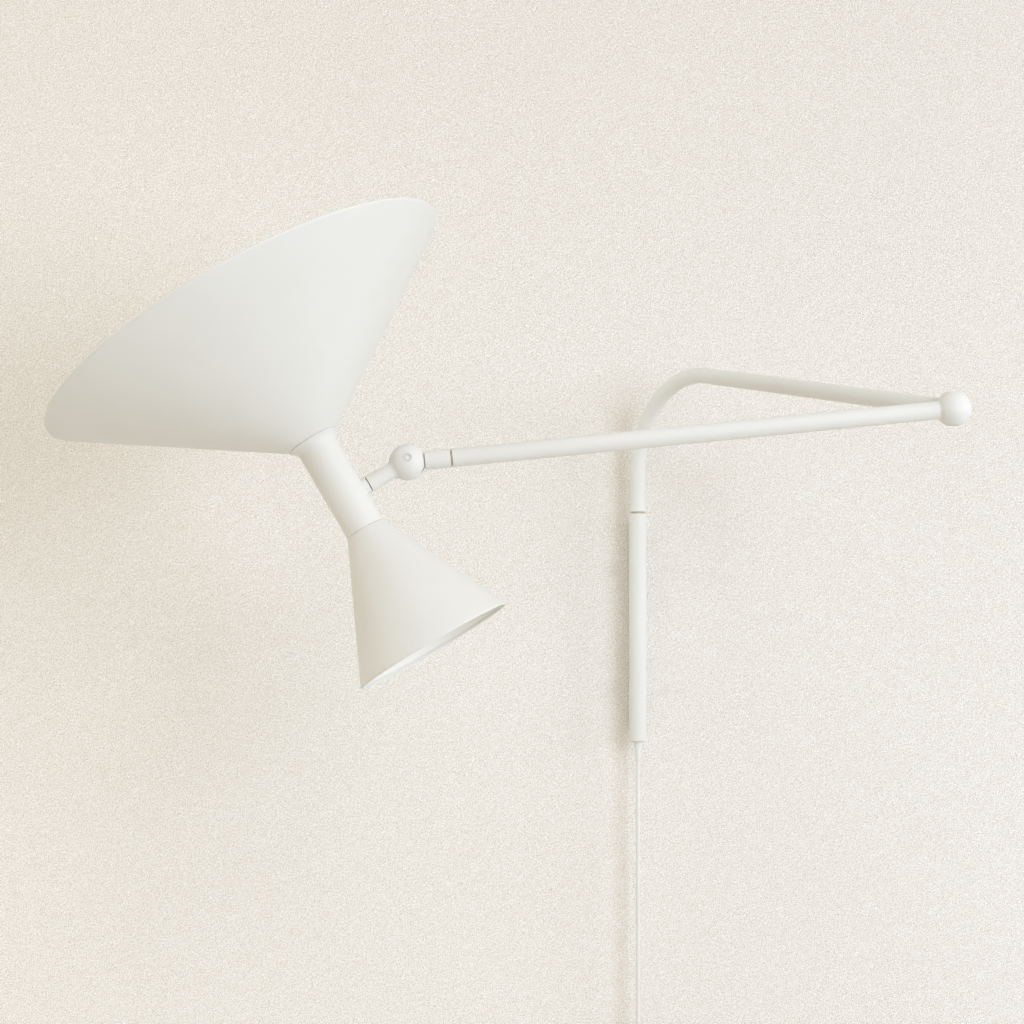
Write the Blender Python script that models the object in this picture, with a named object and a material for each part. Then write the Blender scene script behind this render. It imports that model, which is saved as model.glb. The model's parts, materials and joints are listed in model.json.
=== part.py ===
"""Swing arm wall sconce: a wall tube, two arms and a two-coned head, on five friction joints.

Sizes are in millimetres and angles in degrees, and build functions turn them into metres.
The wall is the plane Y = 0, the lamp stands in front of it at Y < 0, and Z is up.
Each moving body hangs on an empty whose origin lies on the joint's axis.
"""

import math

import bmesh
import bpy
from mathutils import Matrix, Vector

MM = 0.001
RUN = 0.3  # gap kept between neighbouring pieces

# Rest pose
BACK_ARM_AZIMUTH = -55.22
BACK_ARM_REACH = 350.6
BACK_ARM_SLOPE = 8.45
BACK_ARM_BEND = 77.4
STEM_TOP = 132.3
FRONT_ARM_AZIMUTH = 183.62
FRONT_ARM_LENGTH = 381.7
FRONT_ARM_DROOP = 5.71
ARM_ROLL = 14.2
WRIST_TILT = 24.6
HEAD_TURN = -5.3

# How far the two pinned joints swing, from the rest pose
ELBOW_RANGE = (-8.0, 118.0)
WRIST_RANGE = (-70.0, 21.0)

# Wall mounting
AXIS_OFF_WALL = 20.0
PLATE_WIDTH, PLATE_THICK, PLATE_HEIGHT = 12.0, 3.0, 178.0
PLATE_CORNER = 5.0
SCREW_HOLE_Z, SCREW_HOLE_R, SCREW_SINK_R = 78.0, 2.3, 4.2
POST_Z, POST_R, POST_TIP = 50.0, 3.0, 2.0
BOSS_R, BOSS_FRONT, BOSS_BORE_R, BOSS_BORE_END = 5.7, 10.2, 3.3, 1.6
GRUB_R, GRUB_SOCKET_R, GRUB_OFF_WALL = 1.5, 0.75, 6.8

# Tubes, turned parts and the leads inside them
WALL_TUBE_R, WALL_TUBE_BORE, WALL_TUBE_HALF = 7.5, 6.0, 97.0
ARM_R, ARM_BORE = 6.4, 4.9
STEM_FLARE_R, STEM_FLARE_HIGH, FLARE_STEPS = 7.5, 11.0, 5
PLUG_R = ARM_BORE - RUN
BUSH_R, BUSH_BORE = 5.75, 4.85
UPPER_BUSH_LENGTH, BUSH_FLANGE_R, BUSH_FLANGE_THICK = 16.0, 7.0, 0.7
LOWER_BUSH_Z, LOWER_BUSH_LENGTH = 34.3, 12.0
STEM_FOOT = WALL_TUBE_HALF + RUN + BUSH_FLANGE_THICK + RUN
SPIGOT_R, SPIGOT_BORE, SPIGOT_LOW, SPIGOT_HIGH = 4.6, 2.9, 30.0, 120.0
LOCK_Z, LOCK_HALF, LOCK_GROOVE_R = 64.0, 2.0, 3.85
LEAD_R = 1.6
END_CAP_BORE, END_CAP_TOP, END_CAP_LIP = 2.6, -89.0, 0.9

# Pinned balls
BALL_R = 12.5
SLOT_HALF, TONGUE_HALF, WASHER_THICK = 2.8, 1.7, 0.6
TONGUE_WIDTH = 4.5
HUB_R = TONGUE_WIDTH + RUN
PIN_R, PIN_BORE = 2.4, 2.7
PIN_HEAD_THICK, PIN_RIM, PIN_GROOVE, PIN_GROOVE_DEEP = 2.0, 0.85, 0.5, 0.9
ELBOW_HEAD_R, ELBOW_HEAD_TOP = 4.0, 11.4
WRIST_HEAD_R, WRIST_HEAD_TOP = 3.1, 11.9
NUT_R, NUT_SEAT, NUT_THICK = 4.0, 8.8, 2.3
NOSE_TIP, NOSE_TIP_R, NOSE_SHOULDER = 13.1, 5.3, 16.7
ELBOW_FILLET = 2.0

# Wrist
FERRULE_BACK, FERRULE_FRONT = 29.6, 11.9
SHANK_R, SHANK_BORE, SHANK_END = 3.6, 1.9, 56.0
ROLL_GROOVE_R, ROLL_GROOVE = 2.9, (53.8, 52.3)
ROLL_BUSH_R, ROLL_BUSH_BORE, ROLL_BUSH_END = 4.65, 3.9, 52.0
ROLL_FLANGE_R, ROLL_FLANGE_THICK = 6.2, 0.5
STUB_R, STUB_END, STUB_BORE, STUB_FILLET = 5.7, 30.3, 3.9, 4.0
STUB_BORE_START = 16.0
NECK_FROM_WRIST = 47.8
NIPPLE_R, NIPPLE_BORE, NIPPLE_START, NIPPLE_END = 3.6, 2.2, 16.4, 41.5
SWIVEL_NUT_R, SWIVEL_NUT_LOW, SWIVEL_NUT_HIGH = 5.6, 38.5, 41.0

# Head, along its own axis from the point where the stub's axis meets it
NECK_R, NECK_BORE, NECK_TOP, NECK_FOOT = 14.0, 12.0, 44.5, -26.0
FLARE_R, FLARE_FILLET = 18.15, 7.0
BOSS_END = STUB_END + 0.7 - NECK_FROM_WRIST
PAD_R, PAD_FACE = 6.2, -10.8
SHEET = 1.2
UPPER_RIM_R, UPPER_RIM_Z = 151.5, 137.6
LOWER_RIM_R, LOWER_RIM_Z = 56.5, -117.0
LOWER_SEAT_R = 14.2
ROD_R, ROD_BORE, ROD_TOP, ROD_FOOT = 4.2, 2.6, 55.0, -36.0

# Supply cord
CORD_R = 1.75
RELIEF_TOP, RELIEF_TIP = -90.0, -114.0
RELIEF_SHANK_R, RELIEF_R, RELIEF_TIP_R = 2.3, 3.7, 2.2
COIL_Z, COIL_IN_R, COIL_OUT_R, COIL_HALF = -385.0, 12.5, 28.0, 7.3
TIE_WIDTH, TIE_THICK = 7.0, 1.2
PLUG_PIN_R, PIN_PITCH = 2.0, 19.0
PLUG_X, PLUG_TOP, PLUG_BODY_TOP, PLUG_FACE, PIN_TIP = 12.6, -424.0, -438.0, -466.0, -485.0

PAINT = ("powder_coat", (0.80, 0.79, 0.76), 0.55, 0.0)
CAST = ("painted_casting", (0.80, 0.79, 0.76), 0.55, 0.0)
STEEL = ("turned_steel", (0.55, 0.55, 0.56), 0.35, 1.0)
NYLON = ("tan_nylon", (0.60, 0.51, 0.38), 0.6, 0.0)
ALLOY = ("cast_alloy", (0.62, 0.63, 0.64), 0.5, 1.0)
BOARD = ("led_board", (0.85, 0.86, 0.84), 0.5, 0.0)
OPAL = ("opal_diffuser", (0.93, 0.92, 0.88), 0.4, 0.0)
CORD = ("white_cord", (0.80, 0.79, 0.76), 0.5, 0.0)
BRASS = ("plated_brass", (0.72, 0.70, 0.62), 0.3, 1.0)


# ---------------------------------------------------------------- helpers


def clear_scene():
    for obj in list(bpy.data.objects):
        bpy.data.objects.remove(obj, do_unlink=True)


def material(spec):
    name, colour, roughness, metallic = spec
    found = bpy.data.materials.get(name)
    if found:
        return found
    made = bpy.data.materials.new(name)
    made.use_nodes = True
    shader = made.node_tree.nodes["Principled BSDF"]
    shader.inputs["Base Color"].default_value = (*colour, 1.0)
    shader.inputs["Roughness"].default_value = roughness
    shader.inputs["Metallic"].default_value = metallic
    return made


def frame(name, parent=None, at=(0, 0, 0), turn=None):
    """An empty that carries the pieces of one body, or one line through them."""
    empty = bpy.data.objects.new(name, None)
    bpy.context.scene.collection.objects.link(empty)
    empty.parent = parent
    rotation = turn.to_4x4() if turn else Matrix.Identity(4)
    empty.matrix_basis = Matrix.Translation(Vector(at) * MM) @ rotation
    return empty


def turned(axis, degrees):
    return Matrix.Rotation(math.radians(degrees), 3, axis)


def add_object(name, bm, parent, spec):
    bmesh.ops.recalc_face_normals(bm, faces=bm.faces)
    mesh = bpy.data.meshes.new(name)
    bm.to_mesh(mesh)
    bm.free()
    obj = bpy.data.objects.new(name, mesh)
    bpy.context.scene.collection.objects.link(obj)
    obj.parent = parent
    mesh.materials.append(material(spec))
    return obj


def placed(axis, across, over, along):
    """A point whose coordinate along the axis is given, with two across it, in metres."""
    order = {"X": (along, across, over), "Y": (across, along, over), "Z": (across, over, along)}
    return Vector(order[axis]) * MM


def lathe(name, outline, parent, spec, axis="Z", segments=20, at=(0, 0), arc=360.0):
    """Turns a closed outline of (radius, along) points about an axis through the point at."""
    bm = bmesh.new()
    whole = arc >= 360.0
    steps = segments if whole else segments + 1
    rings = []
    for radius, along in outline:
        angles = [math.radians(arc * i / segments) for i in range(1 if radius == 0 else steps)]
        rings.append(
            [
                bm.verts.new(
                    placed(
                        axis,
                        at[0] + radius * math.cos(angle),
                        at[1] + radius * math.sin(angle),
                        along,
                    )
                )
                for angle in angles
            ]
        )
    for first, second in zip(rings, rings[1:] + rings[:1]):
        for i in range(segments):
            j = (i + 1) % steps
            corners = [first[i % len(first)], first[j % len(first)]]
            corners += [second[j % len(second)], second[i % len(second)]]
            corners = list(dict.fromkeys(corners))
            if len(corners) > 2:
                bm.faces.new(corners)
    if not whole:
        bm.faces.new([ring[0] for ring in rings])
        bm.faces.new([ring[-1] for ring in rings])
    return add_object(name, bm, parent, spec)


def rod(name, radius, low, high, parent, spec, axis="Z", segments=16, at=(0, 0)):
    outline = [(0, low), (radius, low), (radius, high), (0, high)]
    return lathe(name, outline, parent, spec, axis, segments, at)


def ring(name, inner, outer, low, high, parent, spec, axis="Z", segments=20, at=(0, 0)):
    outline = [(inner, low), (outer, low), (outer, high), (inner, high)]
    return lathe(name, outline, parent, spec, axis, segments, at)


def prism(name, outline, low, high, parent, spec, axis="Z"):
    """Extrudes an outline drawn across an axis from low to high along it."""
    bm = bmesh.new()
    ends = [[bm.verts.new(placed(axis, a, b, along)) for a, b in outline] for along in (low, high)]
    bm.faces.new(ends[0])
    bm.faces.new(ends[1])
    count = len(outline)
    for i in range(count):
        j = (i + 1) % count
        bm.faces.new([ends[0][i], ends[0][j], ends[1][j], ends[1][i]])
    return add_object(name, bm, parent, spec)


def tube_along(name, path, radii, parent, spec, segments=18):
    """A hollow tube along a path in the XZ plane; radii gives (outer, inner) at each point."""
    bm = bmesh.new()
    across = Vector((0, 1, 0))
    outer, inner = [], []
    for i, point in enumerate(path):
        run = (path[min(i + 1, len(path) - 1)] - path[max(i - 1, 0)]).normalized()
        over = run.cross(across)
        for rings, radius in ((outer, radii[i][0]), (inner, radii[i][1])):
            rings.append([])
            for k in range(segments):
                angle = 2 * math.pi * k / segments
                offset = across * math.cos(angle) + over * math.sin(angle)
                rings[-1].append(bm.verts.new((point + offset * radius) * MM))
    loop = outer + inner[::-1]
    for first, second in zip(loop, loop[1:] + loop[:1]):
        for k in range(segments):
            j = (k + 1) % segments
            bm.faces.new([first[k], first[j], second[j], second[k]])
    return add_object(name, bm, parent, spec)


def arc_points(centre, radius, start, end, count):
    """Points (radius, along) on an arc, with angles from the along axis towards the radius."""
    points = []
    for i in range(count + 1):
        angle = math.radians(start + (end - start) * i / count)
        points.append((centre[0] + radius * math.sin(angle), centre[1] + radius * math.cos(angle)))
    return points


def ball_outline(neck_r, fillet, steps):
    """A ball's outline from its far pole to a fillet onto a neck, and where the fillet ends."""
    across = neck_r + fillet
    along = math.sqrt((BALL_R + fillet) ** 2 - across**2)
    leave = math.degrees(math.atan2(across, along))
    outline = [(0, -BALL_R)] + arc_points((0, 0), BALL_R, 180, leave, steps)[1:]
    outline += arc_points((across, along), fillet, 180 + leave, 270, 3)[1:]
    return outline, along


def join(target, tool, operation):
    modifier = target.modifiers.new(tool.name, "BOOLEAN")
    modifier.operation = operation
    modifier.solver = "EXACT"
    modifier.object = tool
    tool.hide_render = True
    tool.display_type = "WIRE"


def cut(target, *tools):
    for tool in tools:
        join(target, tool, "DIFFERENCE")


def fuse(target, *tools):
    for tool in tools:
        join(target, tool, "UNION")


def swing_outline(hub, reach, low, high):
    """The space that a round-ended tongue sweeps as it swings from angle low to angle high."""

    def at(angle, along, side):
        c, s = math.cos(math.radians(angle)), math.sin(math.radians(angle))
        return (c * along - s * side, s * along + c * side)

    steps = 14
    points = [at(low + (high - low) * i / steps, reach, 0) for i in range(steps + 1)]
    points.append(at(high, reach, hub))
    around = low + 360 - high - 180
    points += [at(high + 90 + around * i / 6, hub, 0) for i in range(7)]
    points.append(at(low, reach, -hub))
    return points


def tongue_outline(tail, half_width):
    """A bar from x = tail to the origin, with a round end on the origin."""
    points = [(tail, -half_width)]
    for i in range(13):
        angle = math.radians(-90 + 15 * i)
        points.append((half_width * math.cos(angle), half_width * math.sin(angle)))
    points.append((tail, half_width))
    return points


# ---------------------------------------------------------------- frames


def make_frames():
    frames = {"wall": frame("wall_frame")}
    frames["post"] = frame("wall_tube_axis", frames["wall"], (0, -AXIS_OFF_WALL, 0))
    frames["back"] = frame("swivel_axis", frames["post"], turn=turned("Z", BACK_ARM_AZIMUTH))
    elbow_height = arm_path()[-1].z - NOSE_SHOULDER * math.sin(math.radians(BACK_ARM_SLOPE))
    elbow_height -= RUN * math.sin(math.radians(BACK_ARM_SLOPE))
    elbow_at = (BACK_ARM_REACH, 0, elbow_height)
    frames["lug"] = frame("elbow_lug", frames["back"], elbow_at)
    slope = turned("Y", BACK_ARM_SLOPE)
    frames["back_line"] = frame("back_arm_line", frames["lug"], turn=slope)
    swing = turned("Z", FRONT_ARM_AZIMUTH - BACK_ARM_AZIMUTH)
    frames["elbow"] = frame("elbow_axis", frames["back"], elbow_at, swing)
    droop = turned("Y", FRONT_ARM_DROOP)
    frames["front_line"] = frame("front_arm_line", frames["elbow"], turn=droop)
    wrist_at = (FRONT_ARM_LENGTH, 0, 0)
    frames["roll"] = frame("roll_axis", frames["front_line"], wrist_at, turned("X", ARM_ROLL))
    frames["wrist"] = frame("tilt_axis", frames["roll"], turn=turned("Y", WRIST_TILT))
    head_at = (NECK_FROM_WRIST, 0, 0)
    frames["head"] = frame("head_axis", frames["wrist"], head_at, turned("X", HEAD_TURN))
    return frames


def arm_path():
    """The back arm's centreline: up the stem, round the bend and down the slope."""
    heights = [STEM_FOOT + STEM_FLARE_HIGH * i / FLARE_STEPS for i in range(FLARE_STEPS + 1)]
    points = [Vector((0, 0, height)) for height in heights + [STEM_TOP]]
    turn = 90 + BACK_ARM_SLOPE
    steps = 10
    for i in range(1, steps + 1):
        angle = math.radians(turn * i / steps)
        x = BACK_ARM_BEND * (1 - math.cos(angle))
        points.append(Vector((x, 0, STEM_TOP + BACK_ARM_BEND * math.sin(angle))))
    slope = math.radians(BACK_ARM_SLOPE)
    end = BACK_ARM_REACH - (NOSE_SHOULDER + RUN) * math.cos(slope)
    run = end - points[-1].x
    points.append(points[-1] + Vector((run, 0, -run * math.tan(slope))))
    return points


# ---------------------------------------------------------------- wall body


def wall_plate(frames):
    wall = frames["wall"]
    half_x, half_z = PLATE_WIDTH / 2 - PLATE_CORNER, PLATE_HEIGHT / 2 - PLATE_CORNER
    outline = []
    for corner, (x, z) in enumerate(((1, 1), (-1, 1), (-1, -1), (1, -1))):
        for i in range(5):
            angle = math.radians(90 * corner + 22.5 * i)
            outline.append(
                (
                    x * half_x + PLATE_CORNER * math.cos(angle),
                    z * half_z + PLATE_CORNER * math.sin(angle),
                )
            )
    plate = prism("wall_plate", outline, -PLATE_THICK, 0, wall, PAINT, "Y")
    for side, z in (("upper", POST_Z), ("lower", -POST_Z)):
        front, middle = -BOSS_FRONT, (0, -GRUB_OFF_WALL)
        boss = rod(f"boss_{side}", BOSS_R, front, -1, wall, PAINT, "Y", 20, (0, z))
        bore_ends = (front - 1, -BOSS_BORE_END)
        bore = rod(f"boss_bore_{side}", BOSS_BORE_R, *bore_ends, wall, PAINT, "Y", 16, (0, z))
        grub_ends = (z - BOSS_R - 1, z - 1)
        grub = rod(f"grub_hole_{side}", GRUB_R + RUN, *grub_ends, wall, PAINT, "Z", 12, middle)
        fuse(plate, boss)
        cut(plate, bore, grub)
    throat = 2.1 - PLATE_THICK
    for side, z in (("upper", SCREW_HOLE_Z), ("lower", -SCREW_HOLE_Z)):
        sink = [(0, -4), (SCREW_SINK_R + 1, -4), (SCREW_HOLE_R, throat), (SCREW_HOLE_R, 1), (0, 1)]
        cut(plate, lathe(f"screw_hole_{side}", sink, wall, PAINT, "Y", 16, (0, z)))


def wall_tube(frames):
    post = frames["post"]
    high, chamfer = WALL_TUBE_HALF, 0.7
    outline = [
        (WALL_TUBE_BORE, -high),
        (WALL_TUBE_R - chamfer, -high),
        (WALL_TUBE_R, -high + chamfer),
        (WALL_TUBE_R, high - chamfer),
        (WALL_TUBE_R - chamfer, high),
        (WALL_TUBE_BORE, high),
    ]
    tube = lathe("wall_tube", outline, post, PAINT, segments=24)
    inside_wall = WALL_TUBE_BORE + 0.6
    for side, z in (("upper", POST_Z), ("lower", -POST_Z)):
        reach = AXIS_OFF_WALL - POST_TIP
        fuse(tube, rod(f"post_{side}", POST_R, inside_wall, reach, post, PAINT, "Y", 16, (0, z)))
    cut(tube, rod("lock_hole", GRUB_R + RUN, 5, 9, post, PAINT, "Y", 12, (0, LOCK_Z)))


def grub_screw(name, parent, axis, at, tip, head):
    """A short set screw with a socket in its outer end."""
    deep = head + 1.0 if head < tip else head - 1.0
    outline = [(0, tip), (GRUB_R, tip), (GRUB_R, head)]
    outline += [(GRUB_SOCKET_R, head), (GRUB_SOCKET_R, deep), (0, deep)]
    lathe(name, outline, parent, STEEL, axis, 12, at)


def wall_hardware(frames):
    wall, post = frames["wall"], frames["post"]
    for side, z in (("upper", POST_Z), ("lower", -POST_Z)):
        tip, head = z - POST_R - 0.15, z - BOSS_R + 0.1
        grub_screw(f"post_screw_{side}", wall, "Z", (0, -GRUB_OFF_WALL), tip, head)
    grub_screw("swivel_lock_screw", post, "Y", (0, LOCK_Z), 4.1, WALL_TUBE_R - 0.2)
    foot = WALL_TUBE_HALF - UPPER_BUSH_LENGTH
    seat = WALL_TUBE_HALF + RUN
    outline = [
        (BUSH_BORE, foot),
        (BUSH_R, foot),
        (BUSH_R, seat),
        (BUSH_FLANGE_R, seat),
        (BUSH_FLANGE_R, seat + BUSH_FLANGE_THICK),
        (BUSH_BORE, seat + BUSH_FLANGE_THICK),
    ]
    lathe("upper_bush", outline, post, NYLON)
    low = LOWER_BUSH_Z
    ring("lower_bush", BUSH_BORE, BUSH_R, low, low + LOWER_BUSH_LENGTH, post, NYLON)
    under = -WALL_TUBE_HALF - RUN
    foot = under - END_CAP_LIP
    outline = [
        (END_CAP_BORE, END_CAP_TOP),
        (BUSH_R, END_CAP_TOP),
        (BUSH_R, under),
        (WALL_TUBE_R - 0.7, under),
        (WALL_TUBE_R - 1.2, foot),
        (END_CAP_BORE, foot),
    ]
    lathe("tube_end_cap", outline, post, CORD)
    collar = foot - RUN
    bulge = RELIEF_R - RELIEF_TIP_R
    outline = [(0, RELIEF_TOP), (RELIEF_SHANK_R, RELIEF_TOP), (RELIEF_SHANK_R, collar)]
    outline += [(RELIEF_R - 0.3, collar), (RELIEF_R, collar - 0.4)]
    for share, fall in ((0.3, 0.38), (0.65, 0.8), (1.0, 1.0)):
        outline.append((RELIEF_R - bulge * fall, collar + (RELIEF_TIP - collar) * share))
    outline.append((0, RELIEF_TIP))
    lathe("strain_relief", outline, post, CORD, segments=20)
    rod("lead_in_wall_tube", LEAD_R, RELIEF_TOP + RUN, SPIGOT_LOW - 1, post, CORD, segments=10)


# ---------------------------------------------------------------- back arm body


def back_arm(frames):
    back, line = frames["back"], frames["back_line"]
    path = arm_path()
    radii = []
    for point in path:
        rise = min(1.0, (point.z - STEM_FOOT) / STEM_FLARE_HIGH)
        flare = (STEM_FLARE_R - ARM_R) * (1 - rise) ** 2
        radii.append((ARM_R + flare, ARM_BORE))
    tube_along("back_arm_tube", path, radii, back, PAINT)
    clip_low, clip_high = LOWER_BUSH_Z - 2.1, LOWER_BUSH_Z - 0.5
    outline = [
        (SPIGOT_BORE, SPIGOT_LOW),
        (SPIGOT_R, SPIGOT_LOW),
        (SPIGOT_R, clip_low),
        (LOCK_GROOVE_R, clip_low),
        (LOCK_GROOVE_R, clip_high),
        (SPIGOT_R, clip_high),
        (SPIGOT_R, LOCK_Z - LOCK_HALF),
        (LOCK_GROOVE_R, LOCK_Z - LOCK_HALF),
        (LOCK_GROOVE_R, LOCK_Z + LOCK_HALF),
        (SPIGOT_R, LOCK_Z + LOCK_HALF),
        (SPIGOT_R, SPIGOT_HIGH),
        (SPIGOT_BORE, SPIGOT_HIGH),
    ]
    lathe("stem_spigot", outline, back, STEEL)
    outline = [(LOCK_GROOVE_R + 0.2, clip_low + RUN), (BUSH_R - 0.2, clip_low + RUN)]
    outline += [(BUSH_R - 0.2, clip_high - RUN), (LOCK_GROOVE_R + 0.2, clip_high - RUN)]
    lathe("spigot_circlip", outline, back, STEEL, arc=310)
    outline = [
        (0, -NOSE_SHOULDER - 15),
        (PLUG_R, -NOSE_SHOULDER - 15),
        (PLUG_R, -NOSE_SHOULDER),
        (ARM_R, -NOSE_SHOULDER),
        (ARM_R, -NOSE_SHOULDER + 1.2),
        (NOSE_TIP_R, -NOSE_TIP),
        (0, -NOSE_TIP),
    ]
    tongue = lathe("elbow_tongue", outline, line, PAINT, "X")
    bar = tongue_outline(-NOSE_SHOULDER + 1, TONGUE_WIDTH)
    fuse(tongue, prism("elbow_bar", bar, -TONGUE_HALF, TONGUE_HALF, frames["lug"], PAINT))
    cut(tongue, rod("elbow_bar_hole", PIN_BORE, -9, 9, frames["lug"], PAINT))
    lead = path[FLARE_STEPS + 1 : -1]
    start, end = Vector((0, 0, SPIGOT_LOW + 1)), path[-1] + (path[-2] - path[-1]).normalized() * 18
    lead_route = [start, start.lerp(lead[0], 0.5)] + lead + [end]
    cable("lead_in_back_arm", lead_route, LEAD_R, back, CORD, resolution=1)


def cable(name, route, radius, parent, spec, resolution=2):
    """A filled round tube through the points of a route, given in millimetres."""
    curve = bpy.data.curves.new(name, "CURVE")
    curve.dimensions = "3D"
    curve.bevel_depth = radius * MM
    curve.bevel_resolution = resolution
    curve.use_fill_caps = True
    spline = curve.splines.new("POLY")
    spline.points.add(len(route) - 1)
    for point, place in zip(spline.points, route):
        point.co = (*(Vector(place) * MM), 1.0)
    spline.use_smooth = True
    curve.materials.append(material(spec))
    obj = bpy.data.objects.new(name, curve)
    bpy.context.scene.collection.objects.link(obj)
    obj.parent = parent
    return obj


# ---------------------------------------------------------------- joint hardware


def pin_stack(joint, parent, axis, sides, head_r, head_top):
    """Shoulder pin, nut and two friction washers on one pinned joint."""
    seat = head_top - PIN_HEAD_THICK
    groove, middle = head_r - PIN_RIM, head_r - PIN_RIM - PIN_GROOVE
    outline = [
        (0, -NUT_SEAT - NUT_THICK),
        (PIN_R, -NUT_SEAT - NUT_THICK),
        (PIN_R, seat),
        (head_r, seat),
        (head_r, head_top - 0.25),
        (head_r - 0.25, head_top),
        (groove, head_top),
        (groove, head_top - PIN_GROOVE_DEEP),
        (middle, head_top - PIN_GROOVE_DEEP),
        (middle, head_top - 0.1),
        (0, head_top - 0.1),
    ]
    lathe(f"{joint}_pin", outline, parent, STEEL, axis, 16)
    low, high = -NUT_SEAT - RUN - NUT_THICK, -NUT_SEAT - RUN
    ring(f"{joint}_nut", PIN_BORE, NUT_R, low, high, parent, STEEL, axis)
    inner = TONGUE_HALF + 0.2
    for side, sign in zip(sides, (1, -1)):
        ends = sorted((sign * inner, sign * (inner + WASHER_THICK)))
        ring(f"{joint}_washer_{side}", PIN_BORE, TONGUE_WIDTH, *ends, parent, NYLON, axis)


def cut_joint(ball, joint, parent, axis, outline, head_r, head_top):
    """The slot, the pin's bore and its two counterbores."""
    far = BALL_R + 2
    seat = head_top - PIN_HEAD_THICK - RUN
    slot = prism(f"{joint}_slot", outline, -SLOT_HALF, SLOT_HALF, parent, PAINT, axis)
    bore = rod(f"{joint}_bore", PIN_BORE, -far, far, parent, PAINT, axis)
    head = rod(f"{joint}_head_seat", head_r + RUN, seat, far, parent, PAINT, axis)
    nut = rod(f"{joint}_nut_seat", NUT_R + RUN, -far, -NUT_SEAT, parent, PAINT, axis)
    cut(ball, slot, bore, head, nut)


# ---------------------------------------------------------------- front arm body


def front_arm(frames):
    elbow, line = frames["elbow"], frames["front_line"]
    outline, seam = ball_outline(ARM_R, ELBOW_FILLET, 14)
    seam += 0.6
    outline += [(ARM_R, seam), (PLUG_R, seam), (PLUG_R, seam + 13), (2.0, seam + 13), (2.0, 3.4), (0, 3.4)]
    ball = lathe("elbow_ball", outline, line, CAST, "X", 30)
    arm = BACK_ARM_AZIMUTH + 180 - FRONT_ARM_AZIMUTH
    sweep = swing_outline(HUB_R, BALL_R + 4, arm - ELBOW_RANGE[1] - 1, arm - ELBOW_RANGE[0] + 1)
    cut_joint(ball, "elbow", elbow, "Z", sweep, ELBOW_HEAD_R, ELBOW_HEAD_TOP)
    pin_stack("elbow", elbow, "Z", ("upper", "lower"), ELBOW_HEAD_R, ELBOW_HEAD_TOP)

    start, end = seam + RUN, FRONT_ARM_LENGTH - FERRULE_BACK - 1.1
    outline = [
        (ARM_BORE, start),
        (ARM_R, start),
        (ARM_R, end - 0.4),
        (ARM_R - 0.4, end),
        (ARM_BORE, end),
    ]
    lathe("front_arm_tube", outline, line, PAINT, "X", 24)
    lead_end = FRONT_ARM_LENGTH - SHANK_END - 4
    rod("lead_in_front_arm", LEAD_R, seam + 14, lead_end, line, CORD, "X", 10)
    roll = frames["roll"]
    flange = FERRULE_BACK + RUN
    outline = [
        (ROLL_BUSH_BORE, -ROLL_BUSH_END),
        (ROLL_BUSH_R, -ROLL_BUSH_END),
        (ROLL_BUSH_R, -flange - ROLL_FLANGE_THICK),
        (ROLL_FLANGE_R, -flange - ROLL_FLANGE_THICK),
        (ROLL_FLANGE_R, -flange),
        (ROLL_BUSH_BORE, -flange),
    ]
    lathe("roll_bush", outline, roll, NYLON, "X")


# ---------------------------------------------------------------- ferrule body


def ferrule(frames):
    roll, groove = frames["roll"], ROLL_GROOVE
    outline = [
        (SHANK_BORE, -SHANK_END),
        (SHANK_R, -SHANK_END),
        (SHANK_R, -groove[0]),
        (ROLL_GROOVE_R, -groove[0]),
        (ROLL_GROOVE_R, -groove[1]),
        (SHANK_R, -groove[1]),
        (SHANK_R, -FERRULE_BACK),
        (ARM_R - 0.4, -FERRULE_BACK),
        (ARM_R, -FERRULE_BACK + 0.4),
        (ARM_R, -FERRULE_FRONT - 0.4),
        (ARM_R - 0.4, -FERRULE_FRONT),
        (5.0, -12.0),
        (3.2, -12.6),
        (SHANK_BORE, -12.85),
    ]
    body = lathe("arm_ferrule", outline, roll, CAST, "X", 24)
    bar = tongue_outline(-16, TONGUE_WIDTH)
    fuse(body, prism("ferrule_bar", bar, -TONGUE_HALF, TONGUE_HALF, roll, CAST, "Y"))
    cut(body, rod("ferrule_bar_hole", PIN_BORE, -9, 9, roll, CAST, "Y"))
    low, high = -groove[0] + RUN, -groove[1] - RUN
    clip_in, clip_out = ROLL_GROOVE_R + 0.25, PLUG_R
    outline = [(clip_in, low), (clip_out, low), (clip_out, high), (clip_in, high)]
    lathe("roll_circlip", outline, roll, STEEL, "X", arc=310)


# ---------------------------------------------------------------- wrist body


def wrist(frames):
    tilt = frames["wrist"]
    outline, _ = ball_outline(STUB_R, STUB_FILLET, 12)
    outline += [
        (STUB_R, STUB_END - 0.4),
        (STUB_R - 0.3, STUB_END),
        (STUB_BORE, STUB_END),
        (STUB_BORE, STUB_BORE_START),
        (2.0, STUB_BORE_START),
        (2.0, 4),
        (0, 4),
    ]
    ball = lathe("wrist_ball", outline, tilt, CAST, "X", 28)
    low = 180 + WRIST_TILT + WRIST_RANGE[0] - 1
    high = 180 + WRIST_TILT + WRIST_RANGE[1] + 1
    sweep = swing_outline(HUB_R, BALL_R + 4, low, high)
    cut_joint(ball, "wrist", tilt, "Y", sweep, WRIST_HEAD_R, WRIST_HEAD_TOP)
    pin_stack("wrist", tilt, "Y", ("near", "far"), WRIST_HEAD_R, WRIST_HEAD_TOP)
    ring("swivel_nipple", NIPPLE_BORE, NIPPLE_R, NIPPLE_START, NIPPLE_END, tilt, STEEL, "X")
    nut_ends = (SWIVEL_NUT_LOW, SWIVEL_NUT_HIGH)
    ring("swivel_nut", NIPPLE_R + RUN, SWIVEL_NUT_R, *nut_ends, tilt, BRASS, "X")
    rod("lead_in_stub", LEAD_R, 6, NIPPLE_END - 0.5, tilt, CORD, "X", 10)


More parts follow.
